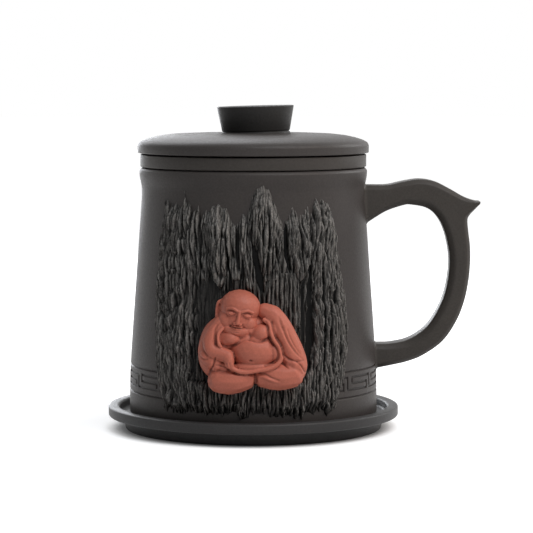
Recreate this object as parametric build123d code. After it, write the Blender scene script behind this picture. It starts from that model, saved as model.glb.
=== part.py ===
"""Lidded tea mug with infuser, in unglazed dark stoneware clay.

A saucer carries the mug, the infuser hangs by its collar on the mug's rim, and the lid
drops into the collar. The mug's wall carries a cliff in applied relief with a seated
monk in red clay, and a strap handle with a thumb spur.

The frame has its origin on the mug's axis at the table, +Z up, +X along the handle and
-Y out of the relief. Sizes are in millimetres, and heights on the mug are above its
foot. Each sub-part is one STEP in parts/.
"""

import math
import os

from build123d import *

# ---- saucer ----
SAUCER_WELL_GAP = 4.05  # round the mug's foot, in the well
SAUCER_RIM_WIDTH = 4.3  # flat top of the rim, from the well to the outside
SAUCER_RIM_BAND = 4.0  # height of the rim's edge
SAUCER_BEVEL = 0.5
SAUCER_FOOT_H = 5.1  # table to the underside of the rim
SAUCER_FOOT_SETBACK = 2.4  # foot ring's outside in from the well's edge
SAUCER_FOOT_FLARE = 0.8  # how much wider the foot is where it meets the rim
SAUCER_FOOT_RING = 4.5  # width of the ring that stands on the table
SAUCER_RECESS = 2.2  # hollow under the saucer, inside the foot ring
SAUCER_WELL_DEPTH = 3.3

# ---- mug, heights above its foot and drops under its rim ----
MUG_H = 96.8
MUG_FOOT_R = 48.75  # wall above the rounded foot
MUG_FOOT_ROUND = 1.8
MUG_BAND_DRAW = 0.3  # how much narrower the wall is at the top of the patterned band
MUG_BAND_TOP = 19.6
MUG_BAND_BOTTOM = 9.6
MUG_BAND_LINE = 0.8  # width of the two grooves that edge the band
MUG_BAND_LINE_DEPTH = 0.4
MUG_NECK_R = 43.7  # narrowest place, under the lip
MUG_NECK_DROP = 10.5
MUG_LIP_FLARE = 0.95  # lip out from the neck
MUG_LIP_DROP = 2.2
MUG_RIM_ROUND = 0.7  # rim in from the lip
MUG_WALL = 4.0
MUG_FLOOR = 4.2  # thickness of the base disc
MUG_FLOOR_RISE = 1.0  # gap from the saucer up to the base disc

# ---- infuser ----
INFUSER_FIT = 0.8  # clearance of the cup in the mug's neck
INFUSER_WALL = 2.6
INFUSER_DEPTH = 58.0  # under the mug's rim
INFUSER_DRAW = 2.2  # how much narrower the cup is at its foot
COLLAR_H = 5.5
COLLAR_SETBACK = 0.35  # collar in from the lip
COLLAR_BEVEL = 0.4  # makes the dark seams above and below the collar
STRAINER = 2.4  # thickness of the perforated floor
STRAINER_HOLE_R = 1.6
STRAINER_SPACING = 10.0  # between the rings of holes
STRAINER_EDGE = 3.6  # least bare clay outside the last ring

# ---- lid ----
LID_OVERHANG = 1.0  # lid out from the collar
LID_BAND = 3.4  # height of the lid's edge
LID_RISE = 4.6  # edge to the flat middle that carries the knob
LID_DOME_STEPS = 6
LID_DOME_POWER = 4  # how flat the dome's middle is and how steep its edge
LID_EDGE_ROUND = 0.8
LID_CEILING = 2.4  # hollow under the lid, inside the flange
FLANGE_FIT = 0.7  # clearance of the flange in the collar
FLANGE_WALL = 2.6
FLANGE_DEPTH = 6.0
KNOB_BASE_R = 13.4
KNOB_BASE_H = 1.0
KNOB_SEAM = 0.35  # groove between the base and the grip
KNOB_NECK_R = 13.2
KNOB_TOP_R = 15.1
KNOB_H = 9.9
KNOB_BEVEL = 0.5
KNOB_DISH = 0.8

# ---- handle: out from the neck's radius, above the foot or under the rim ----
HANDLE_WIDTH = 12.4
HANDLE_BEVEL = 2.0  # how far the bevel reaches in from each side
HANDLE_INSET = 1.6  # how much the bevel takes off the strap's edges
HANDLE_REACH = 41.25  # outside of the bow
HANDLE_BOW_DROP = 35.8
HANDLE_BOW_STRAP = 8.0  # thickness of the strap at the bow
HANDLE_CREST_OUT = 19.85
HANDLE_CREST_DROP = 4.5
HANDLE_CREST_STRAP = 10.0
HANDLE_HEEL_OUT = 30.65
HANDLE_HEEL_Z = 28.6
HANDLE_HEEL_STRAP = 8.4
HANDLE_HEEL_ANGLE = 49.5  # degrees from upright
HANDLE_ROOT_RUN = 5.85  # level stretch at the upper root
HANDLE_UPPER_ROOT_DROP = 6.8
HANDLE_UPPER_ROOT = 15.0  # height of the strap where it meets the wall
HANDLE_LOWER_ROOT_Z = 17.6
HANDLE_LOWER_ROOT = 10.2
SPUR_REACH = 3.9  # the thumb spur's tip beyond the bow
SPUR_DROP = 13.4
SPUR_LENGTH = 6.4
SPUR_TIP = 1.4  # thickness at the tip
SPUR_UNDERCUT = 7.4  # tip down to where the spur joins the bow
SPUR_WAIST = 1.1  # how far the back draws in under the spur

# ---- cliff: degrees are to the right of the mug's front ----
CLIFF_SKIN = 1.0  # smooth clay that the crags stand on
CLIFF_SIDES = 36  # facets of the skin, all round
CLIFF_LEFT_ANGLE = -53.0
CLIFF_RIGHT_ANGLE = 47.0
CLIFF_DROP = 21.5  # top of the skin under the mug's rim
CLIFF_FOOT = 7.0
CRAG_ROOT = 1.5  # how far a crag starts inside the wall, before it is trimmed
CRAG_FACE_SHARE = 0.45  # width of a crag's face, as a share of its root
CRAG_SHAPE = (  # share of the height, of the half width and of how far it stands out
    (0.0, 0.35, 0.3),
    (0.15, 0.85, 0.85),
    (0.5, 1.0, 1.0),
    (0.8, 0.75, 0.8),
    (1.0, 0.2, 0.1),
)
CRAG_STAND = 4.0  # how far the boldest crag stands out of the skin
# degrees, half width in degrees, foot and peak in % of the mug's height, share of the stand
SIDE_CRAGS = (
    (-51.0, 4.0, 9.3, 81.6, 0.45),
    (-46.5, 4.2, 6.7, 88.6, 0.75),
    (-41.0, 3.6, 8.3, 79.5, 0.6),
    (-36.0, 4.0, 6.2, 91.5, 0.95),
    (-31.0, 3.4, 9.3, 85.7, 0.75),
    (31.0, 3.6, 5.7, 85.2, 0.8),
    (35.5, 3.8, 6.7, 88.6, 0.95),
    (40.5, 3.4, 5.2, 83.2, 0.65),
    (44.5, 3.4, 7.7, 84.3, 0.6),
)
# the same, with the foot in % of the monk's height above the monk's seat
HANGING_CRAGS = (
    (-26.0, 3.2, 114.5, 83.7, 0.5),
    (-21.0, 3.4, 110.8, 85.3, 0.7),
    (-16.5, 3.6, 101.5, 86.7, 0.85),
    (-11.5, 3.2, 108.7, 81.6, 0.7),
    (-5.0, 3.2, 105.5, 82.0, 0.75),
    (0.5, 3.4, 108.2, 86.8, 0.8),
    (6.0, 3.8, 108.2, 94.0, 1.0),
    (11.0, 3.2, 107.5, 85.7, 0.8),
    (15.5, 3.0, 114.5, 81.1, 0.55),
    (20.5, 3.4, 104.5, 83.1, 0.8),
    (26.0, 3.4, 99.5, 82.1, 0.7),
)
LEDGE_CRAGS = 9  # low crags under the monk, evenly spread
LEDGE_ANGLE = 27.0  # degrees to the outermost ones
LEDGE_HALF_ANGLE = 4.2
LEDGE_STAND = 3.0
LEDGE_FOOT = 5.4
LEDGE_UNEVEN = 1.2
LEDGE_GAP = 0.4  # from the ledge's peaks up to the monk

# ---- monk: the lumps' sizes are in % of the monk's height ----
MONK_SEAT = 14.2  # above the mug's foot
MONK_H = 40.0
LUMP_SPOKES = 14  # facets round a lump of clay
LUMP_RINGS = 8
# across, above the seat, half length, half thickness, lean in degrees, stand
TORSO = (1.0, 38.2, 42.5, 40.0, 0, 19.0)
SLEEVES = (
    (-36.0, 50.8, 28.7, 14.0, 14, 16.0),
    (34.0, 53.5, 36.2, 15.5, -27, 18.0),
)
KNEES = (
    (-23.5, 14.5, 25.5, 14.5, 80, 26.0),
    (27.5, 17.5, 26.0, 15.5, 97, 26.0),
)
BELLY = (4.0, 41.0, 23.0, 17.2, 90, 28.5)
BREASTS = (
    (-16.5, 56.0, 12.5, 8.0, 78, 24.0),
    (8.0, 60.5, 13.0, 8.2, 66, 24.0),
)
FOREARM = (-24.0, 35.0, 18.8, 8.0, 68, 25.5)
HEAD = (-9.8, 80.0, 20.2, 19.2, -12, 29.0)
EARS = (
    (-29.0, 71.0, 11.0, 5.5, -14, 13.5),
    (10.5, 73.0, 11.0, 5.5, -8, 12.5),
)
NOSE = (-11.5, 76.5, 5.8, 3.2, -12, 31.5)

# places worked out from the sizes above
SAUCER_TOP = SAUCER_FOOT_H + SAUCER_RIM_BAND
SAUCER_WELL_R = MUG_FOOT_R + SAUCER_WELL_GAP
SAUCER_RIM_R = SAUCER_WELL_R + SAUCER_RIM_WIDTH
SAUCER_FOOT_R = SAUCER_WELL_R - SAUCER_FOOT_SETBACK
MUG_Z = SAUCER_TOP - SAUCER_WELL_DEPTH
MUG_TOP = MUG_Z + MUG_H
MUG_NECK_H = MUG_H - MUG_NECK_DROP
MUG_BAND_R = MUG_FOOT_R - MUG_BAND_DRAW
MUG_LIP_R = MUG_NECK_R + MUG_LIP_FLARE
MUG_RIM_R = MUG_LIP_R - MUG_RIM_ROUND
MUG_BORE_R = MUG_NECK_R - MUG_WALL
CUP_R = MUG_BORE_R - INFUSER_FIT
CUP_BORE_R = CUP_R - INFUSER_WALL
COLLAR_R = MUG_LIP_R - COLLAR_SETBACK
COLLAR_TOP = MUG_TOP + COLLAR_H
FLANGE_R = CUP_BORE_R - FLANGE_FIT
LID_R = COLLAR_R + LID_OVERHANG
LID_EDGE_TOP = COLLAR_TOP + LID_BAND
LID_MIDDLE = LID_EDGE_TOP + LID_RISE
MONK_UNIT = MONK_H / 100


def lathe(*points):
    """Turn a closed outline of (radius, height) points about the mug's axis."""
    return revolve(Plane.XZ * make_face(Polyline(*points, close=True)), Axis.Z)


def wall_radius(height):
    """Outside radius of the mug's plain wall at a height above its foot."""
    stations = (
        (0.0, MUG_FOOT_R),
        (MUG_BAND_TOP, MUG_BAND_R),
        (MUG_NECK_H, MUG_NECK_R),
        (MUG_H - MUG_LIP_DROP, MUG_LIP_R),
    )
    for (low, low_r), (high, high_r) in zip(stations, stations[1:]):
        if height <= high:
            return low_r + (high_r - low_r) * (height - low) / (high - low)
    return MUG_LIP_R


def make_saucer():
    """Flat rim, shallow well that seats the mug, and a foot ring."""
    recess_r = SAUCER_FOOT_R - SAUCER_FOOT_RING
    return lathe(
        (0, SAUCER_RECESS),
        (recess_r, SAUCER_RECESS),
        (recess_r, 0),
        (SAUCER_FOOT_R, 0),
        (SAUCER_FOOT_R + SAUCER_FOOT_FLARE, SAUCER_FOOT_H),
        (SAUCER_RIM_R - SAUCER_BEVEL, SAUCER_FOOT_H),
        (SAUCER_RIM_R, SAUCER_FOOT_H + SAUCER_BEVEL),
        (SAUCER_RIM_R, SAUCER_TOP - SAUCER_BEVEL),
        (SAUCER_RIM_R - SAUCER_BEVEL, SAUCER_TOP),
        (SAUCER_WELL_R + SAUCER_BEVEL, SAUCER_TOP),
        (SAUCER_WELL_R, SAUCER_TOP - SAUCER_BEVEL),
        (SAUCER_WELL_R, MUG_Z),
        (0, MUG_Z),
    )


def mug_form():
    """The mug's plain outer form, filled: rounded foot, tapered sides and flared lip."""
    lip_z = MUG_TOP - MUG_LIP_DROP
    flare_z = MUG_Z + (MUG_NECK_H + MUG_H - MUG_LIP_DROP) / 2
    flare_r = MUG_NECK_R + 0.6 * (MUG_LIP_R - MUG_NECK_R)
    return lathe(
        (0, MUG_Z),
        (MUG_FOOT_R - MUG_FOOT_ROUND, MUG_Z),
        (MUG_FOOT_R - MUG_FOOT_ROUND / 3, MUG_Z + MUG_FOOT_ROUND / 3),
        (MUG_FOOT_R, MUG_Z + MUG_FOOT_ROUND),
        (MUG_BAND_R, MUG_Z + MUG_BAND_TOP),
        (MUG_NECK_R, MUG_Z + MUG_NECK_H),
        (flare_r, flare_z),
        (MUG_LIP_R, lip_z),
        (MUG_LIP_R, (lip_z + MUG_TOP) / 2),
        (MUG_RIM_R, MUG_TOP),
        (0, MUG_TOP),
    )


def band_line(height):
    """V-shaped ring that cuts one edge line of the patterned band."""
    reach = wall_radius(height)
    return lathe(
        (reach - MUG_BAND_LINE_DEPTH, MUG_Z + height),
        (reach + MUG_BAND_LINE_DEPTH, MUG_Z + height - MUG_BAND_LINE),
        (reach + MUG_BAND_LINE_DEPTH, MUG_Z + height + MUG_BAND_LINE),
    )


def make_mug_wall():
    """Tapered wall, bored out, with the two grooves that edge its band."""
    bore = lathe(
        (0, MUG_Z),
        (wall_radius(0) - MUG_WALL, MUG_Z),
        (MUG_BAND_R - MUG_WALL, MUG_Z + MUG_BAND_TOP),
        (MUG_BORE_R, MUG_Z + MUG_NECK_H),
        (MUG_BORE_R, MUG_TOP),
        (0, MUG_TOP),
    )
    return mug_form() - bore - band_line(MUG_BAND_BOTTOM) - band_line(MUG_BAND_TOP)


def make_mug_floor():
    """Base disc, set inside the wall and clear of the saucer."""
    low, high = MUG_FLOOR_RISE, MUG_FLOOR_RISE + MUG_FLOOR
    return lathe(
        (0, MUG_Z + low),
        (wall_radius(low) - MUG_WALL, MUG_Z + low),
        (wall_radius(high) - MUG_WALL, MUG_Z + high),
        (0, MUG_Z + high),
    )


def make_collar():
    """Ring that hangs the infuser on the mug's rim and takes the lid's flange."""
    return lathe(
        (CUP_BORE_R, MUG_TOP),
        (COLLAR_R - COLLAR_BEVEL, MUG_TOP),
        (COLLAR_R, MUG_TOP + COLLAR_BEVEL),
        (COLLAR_R, COLLAR_TOP - COLLAR_BEVEL),
        (COLLAR_R - COLLAR_BEVEL, COLLAR_TOP),
        (CUP_BORE_R, COLLAR_TOP),
    )


def cup_radius(below_rim, top_r):
    """Radius of a tapered face of the cup at a depth under the mug's rim."""
    return top_r - INFUSER_DRAW * below_rim / INFUSER_DEPTH


def make_cup():
    """Infuser's tapered wall."""
    foot = MUG_TOP - INFUSER_DEPTH
    return lathe(
        (CUP_R, MUG_TOP),
        (cup_radius(INFUSER_DEPTH, CUP_R), foot),
        (cup_radius(INFUSER_DEPTH, CUP_BORE_R), foot),
        (CUP_BORE_R, MUG_TOP),
    )


def make_strainer():
    """Infuser's floor with rings of holes, inside the foot of the cup."""
    foot = MUG_TOP - INFUSER_DEPTH
    foot_r = cup_radius(INFUSER_DEPTH, CUP_BORE_R)
    disc = lathe(
        (0, foot),
        (foot_r, foot),
        (cup_radius(INFUSER_DEPTH - STRAINER, CUP_BORE_R), foot + STRAINER),
        (0, foot + STRAINER),
    )
    hole = Pos(0, 0, foot + STRAINER / 2) * Cylinder(STRAINER_HOLE_R, 2 * STRAINER)
    rings = int((foot_r - STRAINER_EDGE - STRAINER_HOLE_R) / STRAINER_SPACING)
    disc -= hole
    for ring in range(1, rings + 1):
        disc -= [spot * hole for spot in PolarLocations(ring * STRAINER_SPACING, 6 * ring)]
    return disc


def make_lid_plate():
    """Domed plate with a bevelled edge, a flat middle and a hollow under it."""
    shoulder_r = LID_R - LID_EDGE_ROUND
    bore_r = FLANGE_R - FLANGE_WALL
    dome = []
    for step in range(LID_DOME_STEPS):
        share = step / LID_DOME_STEPS
        radius = shoulder_r - share * (shoulder_r - KNOB_BASE_R)
        dome.append((radius, LID_MIDDLE - LID_RISE * (1 - share) ** LID_DOME_POWER))
    return lathe(
        (0, LID_MIDDLE),
        (0, COLLAR_TOP + LID_CEILING),
        (bore_r - LID_CEILING, COLLAR_TOP + LID_CEILING),
        (bore_r, COLLAR_TOP),
        (shoulder_r, COLLAR_TOP),
        (LID_R, COLLAR_TOP + LID_EDGE_ROUND),
        (LID_R, LID_EDGE_TOP - LID_EDGE_ROUND),
        *dome,
        (KNOB_BASE_R, LID_MIDDLE),
    )


def make_lid_flange():
    """Ring under the lid that drops into the collar."""
    foot = COLLAR_TOP - FLANGE_DEPTH
    return lathe(
        (FLANGE_R - FLANGE_WALL, COLLAR_TOP),
        (FLANGE_R, COLLAR_TOP),
        (FLANGE_R, foot + COLLAR_BEVEL),
        (FLANGE_R - COLLAR_BEVEL, foot),
        (FLANGE_R - FLANGE_WALL, foot),
    )


def make_knob():
    """Base disc, seam and a grip that widens upwards to a dished top."""
    base_top = LID_MIDDLE + KNOB_BASE_H
    top = base_top + KNOB_H
    return lathe(
        (0, LID_MIDDLE),
        (KNOB_BASE_R, LID_MIDDLE),
        (KNOB_BASE_R, base_top - KNOB_SEAM),
        (KNOB_NECK_R - KNOB_SEAM, base_top),
        (KNOB_NECK_R, base_top + KNOB_SEAM),
        (KNOB_TOP_R, top - KNOB_BEVEL),
        (KNOB_TOP_R - KNOB_BEVEL, top),
        (KNOB_TOP_R - 3 * KNOB_BEVEL, top),
        (0, top - KNOB_DISH),
    )


def handle_outline(inset):
    """Closed outline of the strap in the XZ plane, its long edges moved in by inset."""
    root_x = MUG_BORE_R  # inside the wall, trimmed later
    bow = MUG_NECK_R + HANDLE_REACH
    bow_z = MUG_TOP - HANDLE_BOW_DROP
    crest_x = MUG_NECK_R + HANDLE_CREST_OUT
    crest_z = MUG_TOP - HANDLE_CREST_DROP
    upper_top = MUG_TOP - HANDLE_UPPER_ROOT_DROP
    upper_under = upper_top - HANDLE_UPPER_ROOT + inset
    lower_under = MUG_Z + HANDLE_LOWER_ROOT_Z
    lower_top = lower_under + HANDLE_LOWER_ROOT - inset
    tip_x = bow + SPUR_REACH - inset
    tip_z = MUG_TOP - SPUR_DROP - inset / 2
    slope = math.radians(HANDLE_HEEL_ANGLE)
    along = Vector(-math.sin(slope), 0, -math.cos(slope))
    inwards = Vector(along.Z, 0, -along.X)
    heel = Vector(MUG_NECK_R + HANDLE_HEEL_OUT, 0, MUG_Z + HANDLE_HEEL_Z)
    heel_back = heel + inwards * inset
    heel_inside = heel + inwards * (HANDLE_HEEL_STRAP - inset)
    top = Spline(
        (root_x, 0, upper_top - inset),
        (MUG_NECK_R + HANDLE_ROOT_RUN, 0, upper_top - inset),
        (crest_x, 0, crest_z - inset),
        (tip_x - SPUR_LENGTH, 0, tip_z + SPUR_TIP - inset / 2),
        (tip_x, 0, tip_z),
        tangents=[(1, 0, 0), (1, 0, 0.05), (1, 0, 0), (1, 0, -0.35), (1, 0, -0.1)],
    )
    nose_z = tip_z - SPUR_TIP + inset / 2
    back = Spline(
        (tip_x, 0, nose_z),
        (bow - SPUR_WAIST - inset, 0, tip_z - SPUR_UNDERCUT),
        (bow - inset, 0, bow_z),
        heel_back,
        (root_x, 0, lower_under + inset),
        tangents=[(-1, 0, -0.9), (0.02, 0, -1), (0, 0, -1), along, (-1, 0, -0.08)],
    )
    inside = Spline(
        (root_x, 0, lower_top),
        heel_inside,
        (bow - HANDLE_BOW_STRAP + inset, 0, bow_z),
        (crest_x, 0, crest_z - HANDLE_CREST_STRAP + inset),
        (root_x, 0, upper_under),
        tangents=[(1, 0, 0), -along, (0, 0, 1), (-1, 0, 0), (-1, 0, -0.55)],
    )
    nose = Line(top @ 1, back @ 0)
    lower_end = Line(back @ 1, inside @ 0)
    upper_end = Line(inside @ 1, top @ 0)
    return make_face(top + nose + back + lower_end + inside + upper_end)


def make_handle():
    """Strap handle with bevelled sides and a thumb spur, luted to the wall at its roots."""
    flat_half = HANDLE_WIDTH / 2 - HANDLE_BEVEL
    outline = handle_outline(0)
    strap = extrude(outline, flat_half, both=True)
    for side in (-1, 1):
        inner = Pos(0, side * flat_half, 0) * outline
        outer = Pos(0, side * HANDLE_WIDTH / 2, 0) * handle_outline(HANDLE_INSET)
        strap += loft([inner, outer], ruled=True)
    return strap - mug_form()


def on_wall(turn, height, out):
    """Point out from the wall, at turn degrees to the right of the mug's front."""
    reach = wall_radius(height) + out
    angle = math.radians(turn)
    return (reach * math.sin(angle), -reach * math.cos(angle), MUG_Z + height)


def cliff_skin():
    """The form that the cliff's smooth clay makes, all round and filled, in flat facets."""
    heights = (0, MUG_BAND_TOP, MUG_NECK_H)
    rings = []
    for height in heights:
        ring = RegularPolygon(wall_radius(height) + CLIFF_SKIN, CLIFF_SIDES)
        rings.append(Pos(0, 0, MUG_Z + height) * ring)
    return loft(rings, ruled=True)


def make_crag(turn, half, foot, peak, stand):
    """Tapering rib of rock, as the hull of a few level sections."""
    corners = []
    for height_share, width_share, stand_share in CRAG_SHAPE:
        height = foot + height_share * (peak - foot)
        reach = half * width_share
        for side in (-reach, reach):
            corners.append(on_wall(turn + side, height, -CRAG_ROOT))
            face = turn + side * CRAG_FACE_SHARE
            corners.append(on_wall(face, height, CLIFF_SKIN + stand * stand_share))
    return ConvexPolyhedron(corners)


def crags():
    """Every crag's turn, half width in degrees, foot, peak and stand."""
    for turn, half, foot, peak, stand in SIDE_CRAGS:
        yield turn, half, foot * MUG_H / 100, peak * MUG_H / 100, stand * CRAG_STAND
    for turn, half, foot, peak, stand in HANGING_CRAGS:
        yield turn, half, MONK_SEAT + foot * MONK_UNIT, peak * MUG_H / 100, stand * CRAG_STAND
    pitch = 2 * LEDGE_ANGLE / (LEDGE_CRAGS - 1)
    for count in range(LEDGE_CRAGS):
        uneven = LEDGE_UNEVEN * math.sin(2.3 * count)
        peak = MONK_SEAT - LEDGE_GAP - (LEDGE_UNEVEN + uneven) / 2
        stand = LEDGE_STAND + uneven / 2
        yield count * pitch - LEDGE_ANGLE, LEDGE_HALF_ANGLE, LEDGE_FOOT + uneven, peak, stand


def make_cliff():
    """Crags on a thin skin of clay, which lies on the front of the mug's wall."""
    top = MUG_H - CLIFF_DROP
    corners = [on_wall(CLIFF_LEFT_ANGLE, CLIFF_FOOT, 0), on_wall(CLIFF_LEFT_ANGLE, top, 0)]
    corners += [on_wall(CLIFF_RIGHT_ANGLE, top, 0), on_wall(CLIFF_RIGHT_ANGLE, CLIFF_FOOT, 0)]
    outline = Polyline(*[(x, z) for x, y, z in corners], close=True)
    cliff = cliff_skin() & extrude(Plane.XZ * make_face(outline), 2 * MUG_FOOT_R)
    cliff += [make_crag(*crag) for crag in crags()]
    return cliff - mug_form()


def make_lump(across, rise, half_length, half_thickness, lean, stand):
    """Egg of clay in flat facets, whose front stands out of the cliff's skin by stand."""
    corners = [(0, 0, -half_length), (0, 0, half_length)]
    for ring in range(1, LUMP_RINGS):
        polar = math.pi * ring / LUMP_RINGS
        reach = half_thickness * math.sin(polar)
        for spoke in range(LUMP_SPOKES):
            turn = 2 * math.pi * spoke / LUMP_SPOKES
            corners.append((reach * math.cos(turn), reach * math.sin(turn), half_length * math.cos(polar)))
    height = MONK_SEAT + rise
    middle = wall_radius(height) + CLIFF_SKIN + stand - half_thickness
    return Pos(across, -middle, MUG_Z + height) * Rot(0, lean, 0) * ConvexPolyhedron(corners)


def make_monk():
    """Seated monk in red clay, luted to the cliff's skin."""
    monk = Part()
    for across, rise, half_length, half_thickness, lean, stand in (
        TORSO, *SLEEVES, *KNEES, BELLY, *BREASTS, FOREARM, HEAD, *EARS, NOSE
    ):
        size = [value * MONK_UNIT for value in (across, rise, half_length, half_thickness)]
        monk += make_lump(*size, lean, stand * MONK_UNIT)
    below = Pos(0, 0, MUG_Z + MONK_SEAT / 2) * Box(4 * MUG_FOOT_R, 4 * MUG_FOOT_R, MONK_SEAT)
    return monk - cliff_skin() - below


def main():
    """Write every sub-part."""
    parts = {
        "saucer": make_saucer(),
        "mug_wall": make_mug_wall(),
        "mug_floor": make_mug_floor(),
        "mug_handle": make_handle(),
        "rock_relief": make_cliff(),
        "seated_monk": make_monk(),
        "infuser_collar": make_collar(),
        "infuser_cup": make_cup(),
        "infuser_strainer": make_strainer(),
        "lid_plate": make_lid_plate(),
        "lid_flange": make_lid_flange(),
        "lid_knob": make_knob(),
    }
    os.makedirs("parts", exist_ok=True)
    for name, part in parts.items():
        export_step(part, f"parts/{name}.step")


if __name__ == "__main__":
    main()
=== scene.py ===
"""Dressed model of a lidded tea mug with infuser, in unglazed dark clay.

The saucer, mug, infuser and lid are turned forms. The mug's wall carries an impressed key
fret, a strap handle with a thumb spur, and a cliff in high relief with a seated monk in red
clay. Sizes are in millimetres, heights are above the table, and meshes are in metres.
"""

from __future__ import annotations

import logging
import math
from bisect import bisect_right
from collections.abc import Iterable, Sequence
from dataclasses import dataclass
from enum import Enum
from itertools import accumulate
from operator import itemgetter

import bmesh
import bpy
from mathutils import Euler, Matrix, Vector, kdtree, noise

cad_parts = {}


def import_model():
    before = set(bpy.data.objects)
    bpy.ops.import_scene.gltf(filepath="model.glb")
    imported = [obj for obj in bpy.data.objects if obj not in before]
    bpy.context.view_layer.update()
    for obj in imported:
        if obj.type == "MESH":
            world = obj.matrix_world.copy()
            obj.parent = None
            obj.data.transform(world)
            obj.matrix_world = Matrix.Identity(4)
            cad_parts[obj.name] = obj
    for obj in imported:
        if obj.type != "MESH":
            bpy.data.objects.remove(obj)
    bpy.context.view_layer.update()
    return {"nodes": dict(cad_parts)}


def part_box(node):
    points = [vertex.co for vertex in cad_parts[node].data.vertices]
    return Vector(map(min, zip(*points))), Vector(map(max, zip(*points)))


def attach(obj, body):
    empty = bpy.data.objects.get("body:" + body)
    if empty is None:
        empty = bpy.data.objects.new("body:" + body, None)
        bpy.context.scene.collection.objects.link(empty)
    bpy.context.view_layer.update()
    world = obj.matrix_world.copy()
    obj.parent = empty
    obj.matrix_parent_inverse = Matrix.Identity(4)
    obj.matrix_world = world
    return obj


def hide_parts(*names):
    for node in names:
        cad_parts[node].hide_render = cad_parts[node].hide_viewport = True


LOG = logging.getLogger("tea_mug")
MM = 0.001
SHADE_AND_WEAR = "worn_and_shaded"
Point = tuple[float, float]
Colour = tuple[float, float, float]
Path = tuple[tuple[float, ...], ...]


class Body(Enum):
    """Moving bodies of the set."""

    SAUCER = "saucer"
    MUG = "mug"
    INFUSER = "infuser"
    LID = "lid"


class Slot(Enum):
    """Material slots of the record."""

    SAUCER = "dark_clay_saucer"
    MUG = "dark_clay_mug"
    HANDLE = "dark_clay_handle"
    CLIFF = "carved_dark_clay"
    MONK = "red_clay"
    INFUSER = "dark_clay_infuser"
    LID = "dark_clay_lid"


def lerp(low: float, high: float, share: float) -> float:
    """Value at a share of the way from low to high."""
    return low + (high - low) * share


def smooth_share(share: float) -> float:
    """Ease a share from 0 to 1 at both ends, held inside them."""
    share = min(max(share, 0.0), 1.0)
    return share * share * (3.0 - 2.0 * share)


def ramp(value: float, start: float, end: float) -> float:
    """Eased share of the way that a value has gone from start to end."""
    return smooth_share((value - start) / (end - start))


def ripple(x: float, y: float, z: float) -> float:
    """Smooth noise at a place, from about -1 to 1."""
    return noise.noise(Vector((x, y, z)))


def running_mean(values: Sequence[float], reach: int) -> list[float]:
    """Average each value with its neighbours.

    Args:
        values: The values in order.
        reach: How many neighbours count on each side.

    Returns:
        The averages.
    """
    sums = [0.0, *accumulate(values)]
    count = len(values)
    means = []
    for index in range(count):
        low, high = max(index - reach, 0), min(index + reach + 1, count)
        means.append((sums[high] - sums[low]) / (high - low))
    return means


def softened(grid: Sequence[Sequence[float]], across: int, up: int) -> list[tuple[float, ...]]:
    """Average a grid over a window.

    Args:
        grid: Rows of values.
        across: Reach of the window along a row.
        up: Reach of the window from row to row.

    Returns:
        The averaged rows.
    """
    rows = [running_mean(row, across) for row in grid]
    return list(zip(*(running_mean(column, up) for column in zip(*rows))))


@dataclass(frozen=True)
class Curve1D:
    """A value given at stations and interpolated straight between them.

    Attributes:
        stations: Pairs of place and value, in rising order of place.
    """

    stations: tuple[Point, ...]

    def at(self, place: float) -> float:
        """Interpolate the value.

        Args:
            place: Where the value is wanted.

        Returns:
            The value there, or the end value outside the stations.
        """
        index = bisect_right(self.stations, place, key=itemgetter(0))
        if index == 0:
            return self.stations[0][1]
        if index == len(self.stations):
            return self.stations[-1][1]
        (low, low_value), (high, high_value) = self.stations[index - 1 : index + 1]
        return lerp(low_value, high_value, (place - low) / (high - low))


# outside of the mug's wall: height, radius
WALL = Curve1D(
    (
        (5.8, 48.75), (22.5, 48.5), (30.0, 48.1), (42.3, 47.25), (58.2, 46.1), (74.0, 45.0),
        (86.0, 44.13), (92.0, 43.73), (95.6, 43.8), (98.3, 44.3), (100.6, 44.65), (102.6, 43.95),
    )
)  # fmt: skip


# ---------------------------------------------------------------- finishes


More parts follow.
